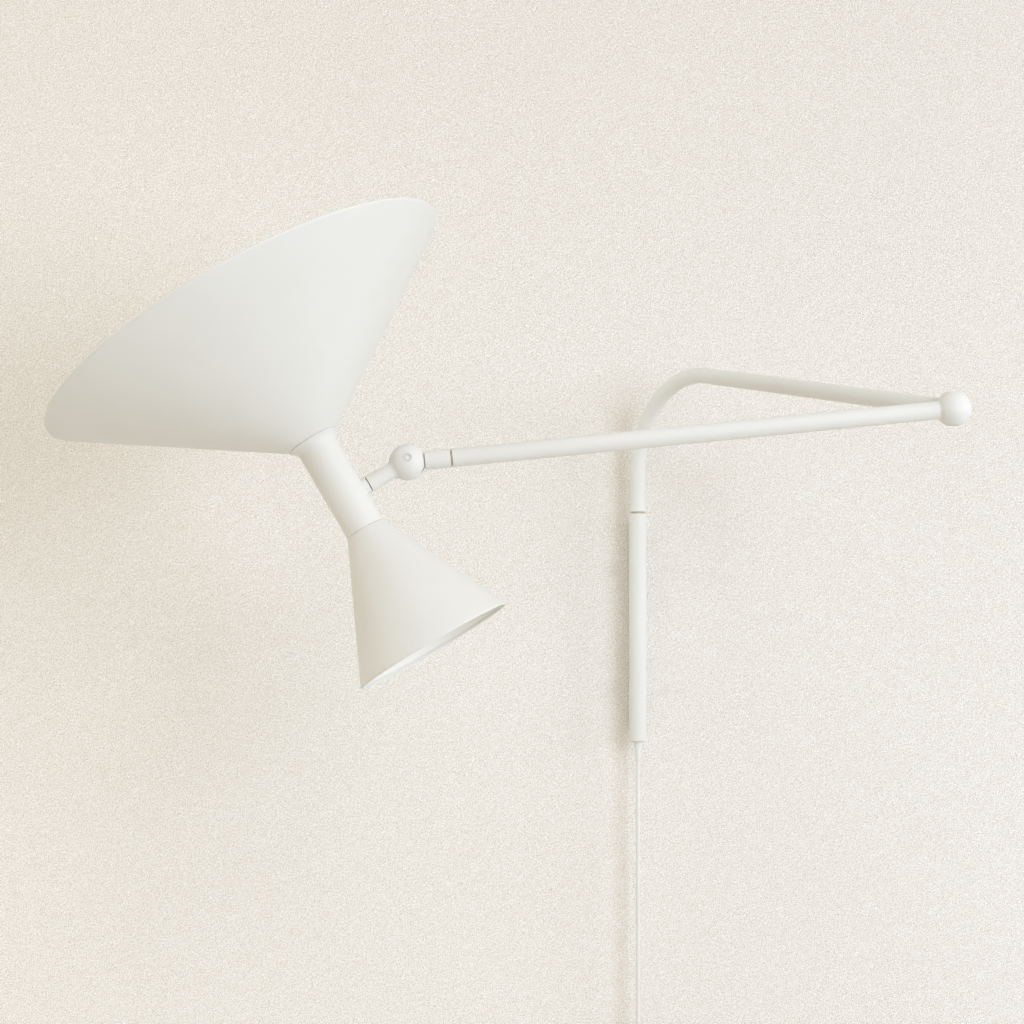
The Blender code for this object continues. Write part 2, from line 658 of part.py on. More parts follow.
# ---------------------------------------------------------------- head body


def neck(frames):
    head = frames["head"]
    centre = NECK_R + FLARE_FILLET
    sweep = math.degrees(math.acos((centre - FLARE_R) / FLARE_FILLET))
    flare_start = NECK_TOP - 0.9 - FLARE_FILLET * math.sin(math.radians(sweep))
    outline = [(NECK_BORE, NECK_FOOT), (LOWER_SEAT_R - 0.3, NECK_FOOT), (NECK_R, NECK_FOOT + 0.5)]
    outline += arc_points((centre, flare_start), FLARE_FILLET, 270, 270 + sweep, 5)
    outline += [(FLARE_R, NECK_TOP), (15.2, NECK_TOP), (NECK_BORE, NECK_TOP - 6)]
    body = lathe("neck_body", outline, head, CAST, segments=32)
    pad = rod("swivel_pad", PAD_R, -NECK_BORE - 0.4, PAD_FACE, head, CAST, "X", 20)
    boss = rod("swivel_boss", STUB_R, BOSS_END, -NECK_BORE - 0.8, head, CAST, "X", 24)
    bore = rod("swivel_bore", NIPPLE_R + 0.4, BOSS_END - 2, PAD_FACE + 3, head, CAST, "X", 20)
    fuse(body, pad, boss)
    cut(body, bore)
    washer_x = PAD_FACE + 0.3
    ring("swivel_washer", NIPPLE_R + 0.4, 5.8, washer_x, washer_x + 0.7, head, NYLON, "X")
    ring("head_tie_rod", ROD_BORE, ROD_R, ROD_FOOT, ROD_TOP, head, STEEL)


def shade(name, frames, seat_r, seat_z, rim_r, rim_z):
    """A spun cone with a flat floor, open at the rim, where its edge is rolled inwards."""
    up = 1 if rim_z > seat_z else -1
    run = Vector((rim_r - seat_r, rim_z - seat_z)).normalized()
    inward = Vector((-run.y * up, run.x * up)) * SHEET
    floor_z = seat_z + up * SHEET
    floor_r = seat_r + inward.x + (floor_z - seat_z - inward.y) * run.x / run.y
    rim = Vector((rim_r, rim_z))
    outline = [
        (ROD_R + RUN + 0.1, seat_z),
        (seat_r, seat_z),
        tuple(rim),
        tuple(rim + run * 0.9 + inward * 0.3),
        tuple(rim + run * 1.0 + inward * 1.1),
        tuple(rim + run * 0.4 + inward * 1.8),
        tuple(rim - run * 0.6 + inward * 1.9),
        tuple(rim - run * 1.6 + inward * 1.0),
        (floor_r, floor_z),
        (ROD_R + RUN + 0.1, floor_z),
    ]
    lathe(name, outline, frames["head"], PAINT, segments=56 if rim_r > 100 else 40)


def dome(base_r, base_z, height, up, count):
    """A quarter of an ellipse from the rim of a diffuser to its crown."""
    points = []
    for i in range(count + 1):
        angle = math.radians(90 * i / count)
        radius = 0 if i == count else base_r * math.cos(angle)
        points.append((radius, base_z + up * height * math.sin(angle)))
    return points


def light_module(name, frames, seat, up, throat_r, deck_r, depth):
    """Heat sink screwed on the tie rod, an LED board on it and an opal cup over both."""
    head = frames["head"]
    bore = ROD_R + RUN
    under, top = seat + up * (depth - 2.7), seat + up * depth
    deep = seat + up * (depth - 3.3)
    outline = [(bore, seat), (throat_r, seat), (throat_r, under), (deck_r, under)]
    outline += [(deck_r, top), (0, top), (0, deep), (bore, deep)]
    lathe(f"{name}_heat_sink", outline, head, ALLOY, segments=24)
    board = sorted((top + up * RUN, top + up * (RUN + 1.4)))
    rod(f"{name}_led_board", deck_r - 1, *board, head, BOARD, segments=24)
    skirt, wall = deck_r + 0.4, 1.8 if deck_r > 20 else 1.3
    foot, spring = under + up * 0.4, top + up * 3
    height = deck_r * 0.35
    outer = dome(skirt + wall, spring, height + wall, up, 5)
    inner = dome(skirt, spring, height, up, 5)
    outline = [(skirt, foot), (skirt + wall, foot)] + outer + inner[::-1]
    lathe(f"{name}_diffuser", outline, head, OPAL, segments=24)


def head_parts(frames):
    neck(frames)
    upper_seat, lower_seat = NECK_TOP + RUN, NECK_FOOT - RUN
    shade("upper_shade", frames, FLARE_R, upper_seat, UPPER_RIM_R, UPPER_RIM_Z)
    shade("lower_shade", frames, LOWER_SEAT_R, lower_seat, LOWER_RIM_R, LOWER_RIM_Z)
    light_module("upper", frames, upper_seat + SHEET + RUN, 1, 16.0, 30.0, 13.0)
    light_module("lower", frames, lower_seat - SHEET - RUN, -1, 12.4, 15.0, 12.0)


# ---------------------------------------------------------------- supply cord


def supply_cord(frames):
    """The cord hangs from the wall tube, and its spare length is coiled, tied and hung below."""
    post = frames["post"]
    drop = [(0, 0, RELIEF_TIP - RUN), (0, 0, -150), (0, 0, -190), (0, 0, -230), (0, 0, -270)]
    drop += [(0, 0, -300), (0, -0.4, -325), (0, -1.3, -338), (0.3, -2.2, -344)]
    drop += [(1.6, -3.3, -349.5), (3.9, -4.4, -354.2)]
    cable("cord_drop", drop, CORD_R, post, CORD)
    tail = [(22.8, 5.2, -405.4), (19.6, 4.4, -410.4), (16.0, 2.7, -415.0), (13.6, 1.1, -419.2)]
    tail += [(12.8, 0.3, -421.7), (PLUG_X, 0, PLUG_TOP + RUN)]
    cable("cord_tail", tail, CORD_R, post, CORD)
    outline = []
    middle = (COIL_IN_R + COIL_OUT_R) / 2
    half = (COIL_OUT_R - COIL_IN_R) / 2
    for i in range(8):
        angle = math.radians(45 * i + 22.5)
        squash = 0.5
        c, s = math.cos(angle), math.sin(angle)
        outline.append(
            (
                middle + half * math.copysign(abs(c) ** squash, c),
                COIL_HALF * math.copysign(abs(s) ** squash, s),
            )
        )
    lathe("cord_coil", outline, post, CORD, "Y", 24, (0, COIL_Z))
    low = (-COIL_OUT_R - RUN, -COIL_HALF - RUN)
    high = (-COIL_IN_R + 0.8, COIL_HALF + RUN)
    band = [(low[0], low[1]), (high[0], low[1]), (high[0], high[1]), (low[0], high[1])]
    thick = TIE_THICK
    out = [(low[0] - thick, low[1] - thick), (high[0] + thick, low[1] - thick)]
    out += [(high[0] + thick, high[1] + thick), (low[0] - thick, high[1] + thick)]
    z = (COIL_Z - TIE_WIDTH / 2, COIL_Z + TIE_WIDTH / 2)
    tie = prism("cord_tie", out, z[0], z[1], post, CORD)
    cut(tie, prism("tie_hole", band, z[0] - 1, z[1] + 1, post, NYLON))
    plug(post)


def plug(post):
    """A flat two-pin plug with a tapered neck."""
    neck_outline = [(0, PLUG_BODY_TOP - 3), (4.6, PLUG_BODY_TOP - 3), (4.2, PLUG_BODY_TOP)]
    neck_outline += [(2.6, PLUG_TOP), (0, PLUG_TOP)]
    body = lathe("plug_body", neck_outline, post, CORD, segments=20, at=(PLUG_X, 0))
    slab = [(-7, PLUG_BODY_TOP), (7, PLUG_BODY_TOP), (13, PLUG_BODY_TOP - 10), (13, PLUG_FACE)]
    slab += [(-13, PLUG_FACE), (-13, PLUG_BODY_TOP - 10)]
    outline = [(PLUG_X + x, z) for x, z in slab]
    fuse(body, prism("plug_slab", outline, -6.5, 6.5, post, CORD, "Y"))
    for side, x in (("left", PLUG_X - PIN_PITCH / 2), ("right", PLUG_X + PIN_PITCH / 2)):
        ends = (PLUG_FACE - 1, PLUG_FACE + 8)
        cut(body, rod(f"pin_socket_{side}", PLUG_PIN_R + RUN, *ends, post, CORD, "Z", 12, (x, 0)))
        root = PLUG_FACE + 7.5
        outline = [(0, PIN_TIP), (1.2, PIN_TIP), (PLUG_PIN_R, PIN_TIP + 1.2), (PLUG_PIN_R, root), (0, root)]
        lathe(f"plug_pin_{side}", outline, post, BRASS, segments=12, at=(x, 0))


def main():
    clear_scene()
    frames = make_frames()
    wall_plate(frames)
    wall_tube(frames)
    wall_hardware(frames)
    back_arm(frames)
    front_arm(frames)
    ferrule(frames)
    wrist(frames)
    head_parts(frames)
    supply_cord(frames)


main()
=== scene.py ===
"""Looks of the swing arm wall sconce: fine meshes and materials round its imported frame.

Shape sizes are in millimetres, in the local frame of each moving body, and become metres in add().
The frame's joints and nodes give the local frames, so each piece is made where its CAD node is.
"""

import json
import math

import bmesh
import bpy
from mathutils import Matrix, Vector


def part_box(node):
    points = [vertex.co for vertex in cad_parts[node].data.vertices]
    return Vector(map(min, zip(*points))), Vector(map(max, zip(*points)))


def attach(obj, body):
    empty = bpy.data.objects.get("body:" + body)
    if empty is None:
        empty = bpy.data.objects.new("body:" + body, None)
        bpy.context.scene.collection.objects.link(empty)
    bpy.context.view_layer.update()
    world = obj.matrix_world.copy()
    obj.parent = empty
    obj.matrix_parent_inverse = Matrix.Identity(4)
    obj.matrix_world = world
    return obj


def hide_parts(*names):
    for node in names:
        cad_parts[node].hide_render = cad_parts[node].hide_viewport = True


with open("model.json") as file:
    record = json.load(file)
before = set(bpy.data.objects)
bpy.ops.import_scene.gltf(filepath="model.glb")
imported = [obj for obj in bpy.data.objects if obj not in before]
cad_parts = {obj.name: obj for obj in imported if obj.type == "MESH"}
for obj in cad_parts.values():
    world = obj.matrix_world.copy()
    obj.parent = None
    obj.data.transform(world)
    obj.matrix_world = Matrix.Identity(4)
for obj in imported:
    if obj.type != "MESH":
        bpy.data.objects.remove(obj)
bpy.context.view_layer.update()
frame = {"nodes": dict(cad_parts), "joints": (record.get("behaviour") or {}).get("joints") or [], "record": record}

MM = 0.001
RECORD = frame["record"]
HOME = {node: body for body, nodes in RECORD["behaviour"]["bodies"].items() for node in nodes}
SLOT = {row["node"]: row["material_slot"] for row in RECORD["subparts"]}

# Wall tube and wall plate
PLATE_HALF_WIDTH, PLATE_HALF_HEIGHT, PLATE_THICK, PLATE_CORNER = 5.75, 89.0, 3.0, 4.8
SCREW_HOLE_Z, SCREW_HOLE_R, SCREW_SINK_R = 78.0, 2.3, 4.2
POST_Z, POST_R, POST_TIP = 50.0, 3.0, 18.0
BOSS_R, BOSS_FRONT, BOSS_BORE_R, BOSS_BORE_END = 5.7, 10.2, 3.3, 1.6
BOSS_MOUTH_R, BOSS_FOOT_R, BOSS_FOOT_HIGH = 3.8, 6.0, 0.6
GRUB_R, GRUB_OFF_WALL, GRUB_HOLE_R = 1.5, 6.8, 1.8
GRUB_POINT, GRUB_SOCKET_R, GRUB_SOCKET_DEEP = 0.5, 0.8, 0.9
WALL_TUBE_R, WALL_TUBE_BORE, WALL_TUBE_HALF = 7.5, 6.0, 97.0
WELD_OUTLINE = ((4.4, 6.6), (4.2, 7.2, 0.6), (3.35, 8.2, 1.5), (POST_R, 9.6))
LOCK_Z, LOCK_TIP = 64.0, 4.1
BUSH_R, BUSH_BORE, BUSH_FLANGE_R, BUSH_FLANGE_THICK, BUSH_LENGTH = 5.75, 4.85, 7.0, 0.7, 16.0
END_CAP_BORE, END_CAP_TOP, END_CAP_FOOT = 2.6, -89.0, -98.2
RELIEF_TOP, RELIEF_COLLAR, RELIEF_TIP = -90.0, -98.5, -114.0
RELIEF_SHANK_R, RELIEF_R, RELIEF_TIP_R, RELIEF_CURVE = 2.3, 3.7, 2.2, 1.55

# Arms
ARM_R, ARM_BORE = 6.4, 4.9
STEM_FOOT, STEM_TOP, STEM_FLARE_R, STEM_FLARE_HIGH = 98.3, 132.3, 7.5, 11.0
BEND_R, BACK_ARM_SLOPE = 77.4, 8.45
NOSE_TIP, NOSE_TIP_R, NOSE_SHOULDER, GAP = 13.1, 5.3, 16.7, 0.3
PLUG_R, PLUG_LENGTH = ARM_BORE - GAP, 15.0
FRONT_HOLLOW, LEAD_HOLE_R = 28.0, 2.0
FERRULE_BACK, FERRULE_FRONT, RING_GAP = 29.6, 11.9, 1.1
SHANK_R, SHANK_BORE, SHANK_END = 3.6, 1.9, 56.0
ROLL_GROOVE_R, ROLL_GROOVE = 2.9, (53.8, 52.3)
ROLL_BUSH_R, ROLL_BUSH_BORE, ROLL_BUSH_END, ROLL_FLANGE_R = 4.65, 3.9, 52.0, 6.2

# Pinned balls
BALL_R, SLOT_HALF, TONGUE_HALF, TONGUE_WIDTH = 12.5, 2.8, 1.7, 4.5
PIN_R, PIN_BORE, PIN_HEAD_THICK = 2.4, 2.7, 2.0
NUT_R, NUT_SEAT, NUT_THICK = 4.0, 8.8, 2.3
ELBOW_HEAD_R, ELBOW_HEAD_TOP, ELBOW_FILLET = 4.0, 11.4, 2.0
WRIST_HEAD_R, WRIST_HEAD_TOP = 3.1, 11.9
STUB_R, STUB_END, STUB_BORE, STUB_BORE_START, STUB_FILLET = 5.7, 30.3, 3.9, 16.0, 4.0
HEAD_RIM, HEAD_GROOVE, GROOVE_DEEP, HEAD_GAP = 0.85, 0.5, 0.9, 0.08
NOTCH_HALF, NOTCH_DEEP, PIN_HOLE_REACH = 0.6, 0.8, 9.0

# Head
NECK_R, NECK_BORE, NECK_TOP, NECK_FOOT, SEAM = 14.0, 12.0, 44.68, -26.18, 0.12
FLARE_R, FLARE_FILLET = 18.15, 7.0
BOSS_END, PAD_R, PAD_FACE, NIPPLE_HOLE_R = -16.8, 6.2, -10.8, 4.0
SHEET, HEM_R, HEM_TURN, HEM_TUCK = 1.2, 1.05, 228.0, 2.4
UPPER_RIM_R, UPPER_RIM_Z, LOWER_RIM_R, LOWER_RIM_Z = 151.5, 137.6, 56.5, -117.0
LOWER_SEAT_R, ROD_HOLE_R = 14.2, 4.6
DECK_THICK, DECK_RECESS, FIN_HALF = 2.7, 3.3, 0.55
UPPER_THROAT_R, UPPER_DECK_R, UPPER_MODULE = 16.0, 30.0, 13.0
LOWER_THROAT_R, LOWER_DECK_R, LOWER_MODULE = 12.4, 15.0, 12.0
LARGE_FINS, SMALL_FINS, LARGE_CUP_WALL, SMALL_CUP_WALL, CUP_RISE = 24, 16, 1.8, 1.3, 0.35

# Supply cord
CORD_R, CORD_LENGTH = 1.75, 1.978
COIL_Z, COIL_TURNS, COIL_LAYERS = -385.0, 3.25, 4
COIL_OUT, COIL_PITCH, COIL_START = 26.1, 3.6, 48.0
COIL_RIM_IN, COIL_RIM_OUT, COIL_HALF = 12.5, 28.0, 7.3
TIE_WIDTH, TIE_THICK, TIE_CORNER, TIE_EDGE = 7.0, 1.2, 2.0, 0.3
TIE_HEAD_HALF, TIE_HEAD_OUT, TIE_HEAD_IN = 3.2, 0.9, 1.0
PLUG_X, PLUG_TOP, PLUG_FACE, PIN_TIP = 12.6, -424.0, -466.0, -485.0
PLUG_PIN_R, PIN_PITCH, SLEEVE_END = 2.0, 19.0, -475.6
COLLAR_HALF, COLLAR_LENGTH = 2.6, 12.4
GRIP_FROM, GRIP_TO, RIB_SPACING, RIB_DEEP = 0.30, 0.80, 0.1, 0.3

# Edges broken by this much, and the number of sides of what is round
THIN_EDGE, BORE_EDGE, EDGE, PAINT_EDGE = 0.1, 0.2, 0.3, 0.4
HOLE_SIDES, PIN_SIDES, ARM_SIDES, TUBE_SIDES, HEAD_SIDES = 48, 64, 72, 96, 128
UPPER_SIDES, LOWER_SIDES = 224, 160

# Stage, in metres, with the lights placed round the aim
WALL_BEHIND, WALL_WIDTH, WALL_HEIGHT, WALL_MIDDLE = 0.0006, 5.0, 3.2, 0.25
FLOOR_SIDE, FLOOR_Z = 24.0, -1.35
# Painted shade: the wall's colour goes from pale at the floor to darker towards the top
WALL_PALE, WALL_SHADED_TOP = (0.951, 0.930, 0.884), (0.842, 0.806, 0.742)
WALL_LOW, WALL_HIGH = -0.34, 0.54
# Painted shade: the wall's colour is darker towards the right
WALL_LEFT, WALL_RIGHT, WALL_SIDE_SHADE = -0.45, 0.25, (0.972, 0.893)
STIPPLE_SCALE, STIPPLE_STRETCH, STIPPLE_SLANT = 1500, 1.7, -32
# Painted shade and light in the stipple: its grain darkens the colour in its hollows and lightens it on its rises
STIPPLE_DEEP, STIPPLE_SHADE = 0.0008, (0.25, 0.346, 0.444)
LIGHT_AIM, LIGHT_DISTANCE = Vector((-0.1, 0, 0)), 2.8
LIGHTS = (
    # name, degrees right of straight on, degrees up, diameter, power, colour
    ("key", 33, 10, 1.4, 39.3, (0.67, 0.80, 1.0)),
    ("side", 68, 10, 0.9, 12.8, (0.87, 0.90, 1.0)),
    ("top", 5, 50, 0.9, 9.0, (0.88, 0.87, 1.0)),
    ("top_left", -50, 50, 0.9, 10.6, (0.54, 0.78, 0.97)),
    ("left", -75, 10, 0.9, 12.4, (0.84, 0.93, 0.97)),
)
AMBIENT, AMBIENT_STRENGTH = (1.0, 0.83, 0.587), 0.595


# ---- local frames


def joint_line(name):
    found = next(j for j in frame["joints"] if j["name"] == name)
    return Vector(found["pos_m"]), Vector(found["axis"]).normalized()


def centre_of(node):
    low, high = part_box(node)
    return (low + high) / 2


def local_frame(origin, x_axis, near_y=None, near_z=None):
    """A frame at origin with this X axis, and Y or Z as near as can be to the one given."""
    x = x_axis.normalized()
    if near_y is not None:
        z = x.cross(near_y).normalized()
        y = z.cross(x)
    else:
        y = near_z.cross(x).normalized()
        z = x.cross(y)
    turn = Matrix((x, y, z)).transposed()
    return Matrix.Translation(origin) @ turn.to_4x4()


UP = Vector((0, 0, 1))
post_at, _ = joint_line("wall_swivel")
elbow_at, _ = joint_line("elbow_swing")
wrist_at, roll_axis = joint_line("arm_roll")
_, tilt_axis = joint_line("wrist_tilt")
_, stub_axis = joint_line("head_turn")
lower_board, upper_board = centre_of("lower_led_board"), centre_of("upper_led_board")
head_axis = (upper_board - lower_board).normalized()
neck_at = lower_board + head_axis * (wrist_at - lower_board).dot(head_axis)

WALL = Matrix.Identity(4)
POST = Matrix.Translation(post_at)
across = elbow_at - post_at
across.z = 0
BACK_ARM_REACH = across.length / MM
BACK = local_frame(post_at, across, near_z=UP)
LUG = local_frame(elbow_at, across, near_z=UP)
BACK_LINE = LUG @ Matrix.Rotation(math.radians(BACK_ARM_SLOPE), 4, "Y")
FRONT_LINE = local_frame(elbow_at, roll_axis, near_z=UP)
flat_arm = Vector((roll_axis.x, roll_axis.y, 0))
ELBOW = local_frame(elbow_at, flat_arm, near_z=UP)
ROLL = local_frame(wrist_at, roll_axis, near_y=tilt_axis)
TILT = local_frame(wrist_at, stub_axis, near_y=tilt_axis)
HEAD = local_frame(neck_at, stub_axis, near_z=head_axis)
FRONT_ARM_LENGTH = (wrist_at - elbow_at).length / MM


# ---- camera


def make_camera():
    data = bpy.data.cameras.new("camera")
    data.sensor_width = 36.0
    data.lens = 64.69
    data.clip_end = 50
    camera = bpy.data.objects.new("camera", data)
    camera.location = (-0.1075, -1.59, 0.098)
    camera.rotation_euler = (math.radians(90), 0, 0)
    bpy.context.scene.collection.objects.link(camera)
    bpy.context.scene.camera = camera


make_camera()


# ---- materials

# Most of a noise's values lie between these
NOISE_MIDDLE = (0.3, 0.7)


class Nodes:
    """Short names for building one material's node tree, in object coordinates."""

    def __init__(self, name):
        self.material = bpy.data.materials.new(name)
        self.material.use_nodes = True
        self.tree = self.material.node_tree
        self.shader = self.tree.nodes["Principled BSDF"]
        self.place = self.tree.nodes.new("ShaderNodeTexCoord").outputs["Object"]

    def link(self, start, end):
        self.tree.links.new(start, end)

    def noise(self, scale, detail=2.0, stretch=(1, 1, 1), slant=0.0, twist=0.0):
        """Noise whose grains are about 1 / scale metres across, stretched along slanted axes."""
        mapping = self.tree.nodes.new("ShaderNodeMapping")
        mapping.vector_type = "TEXTURE"
        mapping.inputs["Scale"].default_value = stretch
        mapping.inputs["Rotation"].default_value = (0, math.radians(slant), 0)
        self.link(self.place, mapping.inputs["Vector"])
        made = self.tree.nodes.new("ShaderNodeTexNoise")
        made.inputs["Scale"].default_value = scale
        made.inputs["Detail"].default_value = detail
        made.inputs["Distortion"].default_value = twist
        self.link(mapping.outputs["Vector"], made.inputs["Vector"])
        return made.outputs["Fac"]

    def spread(self, source, low, high, ends=NOISE_MIDDLE):
        """Maps the values between the ends, for a noise its middle, to a range from low to high."""
        made = self.tree.nodes.new("ShaderNodeMapRange")
        made.inputs["From Min"].default_value = ends[0]
        made.inputs["From Max"].default_value = ends[1]
        made.inputs["To Min"].default_value = low
        made.inputs["To Max"].default_value = high
        self.link(source, made.inputs["Value"])
        return made.outputs["Result"]

    def colour(self, source, first, second, ends=NOISE_MIDDLE):
        """Blends from the first to the second colour as the source goes from end to end."""
        ramp = self.tree.nodes.new("ShaderNodeValToRGB")
        for element, end, shade_of in zip(ramp.color_ramp.elements, ends, (first, second)):
            element.position = end
            element.color = (*shade_of, 1)
        self.link(source, ramp.inputs["Fac"])
        self.link(ramp.outputs["Color"], self.shader.inputs["Base Color"])
        return ramp

    def roughness(self, source, low, high):
        self.link(self.spread(source, low, high), self.shader.inputs["Roughness"])

    def bump(self, source, height, strength=1.0):
        made = self.tree.nodes.new("ShaderNodeBump")
        made.inputs["Strength"].default_value = strength
        made.inputs["Distance"].default_value = height
        self.link(source, made.inputs["Height"])
        self.link(made.outputs["Normal"], self.shader.inputs["Normal"])


def powder_coat(name, light, dark, peel=0.00004, inside=None):
    """Matte powder coat: a faint drift in tone, fine orange peel and an even low gloss.

    Where the mesh's attribute called inner is 1, the coat takes the colour given for the inside.
    """
    nodes = Nodes(name)
    ramp = nodes.colour(nodes.noise(30, 4), dark, light)
    if inside:
        mix = nodes.tree.nodes.new("ShaderNodeMix")
        mix.data_type = "RGBA"
        inner = nodes.tree.nodes.new("ShaderNodeAttribute")
        inner.attribute_name = "inner"
        nodes.link(inner.outputs["Fac"], mix.inputs["Factor"])
        nodes.link(ramp.outputs["Color"], mix.inputs["A"])
        mix.inputs["B"].default_value = (*inside, 1)
        nodes.link(mix.outputs["Result"], nodes.shader.inputs["Base Color"])
    nodes.roughness(nodes.noise(260, 2), 0.50, 0.62)
    nodes.bump(nodes.noise(750, 2), peel)
    nodes.shader.inputs["Specular IOR Level"].default_value = 0.42
    return nodes.material


def bare_metal(name, light, dark, grain, low, high, lines=1.0):
    """Turned or plated metal, with fine grain in its gloss."""
    nodes = Nodes(name)
    nodes.shader.inputs["Metallic"].default_value = 1.0
    nodes.colour(nodes.noise(90, 3), dark, light)
    fine = nodes.noise(grain, 3, (lines, lines, 1))
    nodes.roughness(fine, low, high)
    nodes.bump(fine, 0.00001)
    return nodes.material


def moulded(name, light, dark, low, high, grain=1300, height=0.00001):
    """Moulded plastic or rubber, with a fine spark-eroded grain."""
    nodes = Nodes(name)
    nodes.colour(nodes.noise(60, 3), dark, light)
    nodes.roughness(nodes.noise(400, 2), low, high)
    nodes.bump(nodes.noise(grain, 2), height)
    return nodes.material


def opal(name):
    """Opal cup: milky, with light spreading under its satin skin."""
    nodes = Nodes(name)
    nodes.colour(nodes.noise(45, 3), (0.86, 0.85, 0.81), (0.90, 0.89, 0.86))
    nodes.roughness(nodes.noise(500, 2), 0.32, 0.42)
    nodes.bump(nodes.noise(1500, 2), 0.000006)
    nodes.shader.inputs["Subsurface Weight"].default_value = 0.35
    nodes.shader.inputs["Subsurface Scale"].default_value = 0.004
    return nodes.material


PAINT_LIGHT, PAINT_DARK = (0.752, 0.757, 0.726), (0.738, 0.742, 0.710)
# The shades' inside is paler: partly a white reflector coat, partly painted light where the inside catches the
# light
REFLECTOR_AND_PAINTED_LIGHT = (0.84, 0.825, 0.775)

MATERIALS = {
    "tube_paint": powder_coat("tube_powder_coat", PAINT_LIGHT, PAINT_DARK),
    "casting_paint": powder_coat("casting_powder_coat", PAINT_LIGHT, PAINT_DARK, 0.00005),
    "shade_paint": powder_coat("shade_powder_coat", PAINT_LIGHT, PAINT_DARK, 0.000035, REFLECTOR_AND_PAINTED_LIGHT),
    "screw_paint": powder_coat("screw_powder_coat", PAINT_LIGHT, PAINT_DARK, 0.00003),
    "steel": bare_metal("zinc_steel", (0.60, 0.61, 0.62), (0.48, 0.49, 0.51), 900, 0.28, 0.42, 4),
    "brass": bare_metal("nickel_plate", (0.74, 0.72, 0.66), (0.66, 0.64, 0.58), 1200, 0.2, 0.32),
    "alloy": bare_metal("cast_alloy", (0.66, 0.67, 0.68), (0.56, 0.57, 0.58), 1600, 0.45, 0.6),
    # The bushes' nylon is darkened and warmed: partly their own tan, partly painted shade for the warm dark lines
    # of the gaps they sit in
    "nylon": moulded("tan_nylon", (0.60, 0.51, 0.38), (0.55, 0.46, 0.34), 0.5, 0.65),
    "board": moulded("solder_mask", (0.86, 0.87, 0.85), (0.81, 0.82, 0.80), 0.35, 0.5),
    "opal": opal("opal_cup"),
    "cord": moulded("cord_vinyl", (0.80, 0.80, 0.775), (0.77, 0.77, 0.745), 0.38, 0.5, 900),
}
SLEEVE = moulded("pin_sleeve", (0.78, 0.78, 0.76), (0.74, 0.74, 0.72), 0.35, 0.45)


# ---- mesh helpers


def add(name, bm, place, sharp=35.0):
    """Makes an object of a mesh drawn in millimetres in the local frame place."""
    bmesh.ops.recalc_face_normals(bm, faces=bm.faces)
    mesh = bpy.data.meshes.new(name)
    bm.to_mesh(mesh)
    bm.free()
    mesh.transform(place @ Matrix.Scale(MM, 4))
    mesh.shade_smooth()
    mesh.set_sharp_from_angle(angle=math.radians(sharp))
    obj = bpy.data.objects.new(name, mesh)
    bpy.context.scene.collection.objects.link(obj)
    return obj


def dress(obj, *nodes):
    """The piece takes the body, slot and material of the first CAD node, and stands for them all."""
    obj.name = f"fine_{nodes[0]}"
    obj.data.name = obj.name
    slot = SLOT[nodes[0]]
    obj.data.materials.clear()
    obj.data.materials.append(MATERIALS[slot])
    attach(obj, HOME[nodes[0]])
    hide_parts(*nodes)
    return obj


def point_on(axis, along, angle, radius, at):
    """A point turned about an axis through at, with the angle from the first of the other two."""
    a, b = at[0] + radius * math.cos(angle), at[1] + radius * math.sin(angle)
    return {"X": (along, a, b), "Y": (a, along, b), "Z": (a, b, along)}[axis]


def rounded(corners, spread=12.0):
    """A closed outline of (radius, along, fillet) corners, with each fillet drawn as an arc."""
    points = []
    for i, corner in enumerate(corners):
        here = Vector(corner[:2])
        fillet = corner[2] if len(corner) > 2 else 0
        before = Vector(corners[i - 1][:2]) - here
        after = Vector(corners[(i + 1) % len(corners)][:2]) - here
        if not fillet:
            points.append(tuple(here))
            continue
        half = before.angle(after) / 2
        # Neither fillet of a side takes as much as half of it
        reach = min(fillet / math.tan(half), 0.48 * before.length, 0.48 * after.length)
        radius = reach * math.tan(half)
        first, last = before.normalized() * reach, after.normalized() * reach
        middle = (first + last).normalized() * (radius / math.sin(half))
        steps = max(2, math.ceil((180 - math.degrees(2 * half)) / spread))
        start, end = first - middle, last - middle
        turn = start.angle_signed(end)
        for k in range(steps + 1):
            angle = -turn * k / steps
            c, s = math.cos(angle), math.sin(angle)
            arm = Vector((start.x * c - start.y * s, start.x * s + start.y * c))
            points.append(tuple(here + middle + arm))
    return points


def arc(centre, radius, start, end, steps):
    """Points (radius, along) on an arc, with angles from the along axis towards the radius."""
    points = []
    for i in range(steps + 1):
        angle = math.radians(start + (end - start) * i / steps)
        points.append((centre[0] + radius * math.sin(angle), centre[1] + radius * math.cos(angle)))
    return points


def rounded_box(half_x, half_y, corner, steps):
    """The outline of a rectangle with round corners."""
    points = []
    for quarter, (x, y) in enumerate(((1, 1), (-1, 1), (-1, -1), (1, -1))):
        for i in range(steps + 1):
            angle = math.radians(90 * quarter + 90 * i / steps)
            a = x * (half_x - corner) + corner * math.cos(angle)
            b = y * (half_y - corner) + corner * math.sin(angle)
            points.append((a, b))
    return points


def lathe(name, outline, place, axis="Z", segments=ARM_SIDES, at=(0, 0)):
    """Turns a closed outline of (radius, along) points about an axis through at."""
    bm = bmesh.new()
    rings = []
    for radius, along in outline:
        count = 1 if radius < 1e-6 else segments
        angles = [2 * math.pi * i / segments for i in range(count)]
        rings.append([bm.verts.new(point_on(axis, along, angle, radius, at)) for angle in angles])
    for first, second in zip(rings, rings[1:] + rings[:1]):
        if len(first) == 1 and len(second) == 1:
            continue
        for i in range(segments):
            j = (i + 1) % segments
            corners = [first[i % len(first)], first[j % len(first)]]
            corners += [second[j % len(second)], second[i % len(second)]]
            bm.faces.new(list(dict.fromkeys(corners)))
    return add(name, bm, place)


def rod(name, radius, low, high, place, axis="Z", segments=HOLE_SIDES, at=(0, 0), edge=0.0):
    corners = [(0, low), (radius, low, edge), (radius, high, edge), (0, high)]
    return lathe(name, rounded(corners), place, axis, segments, at)


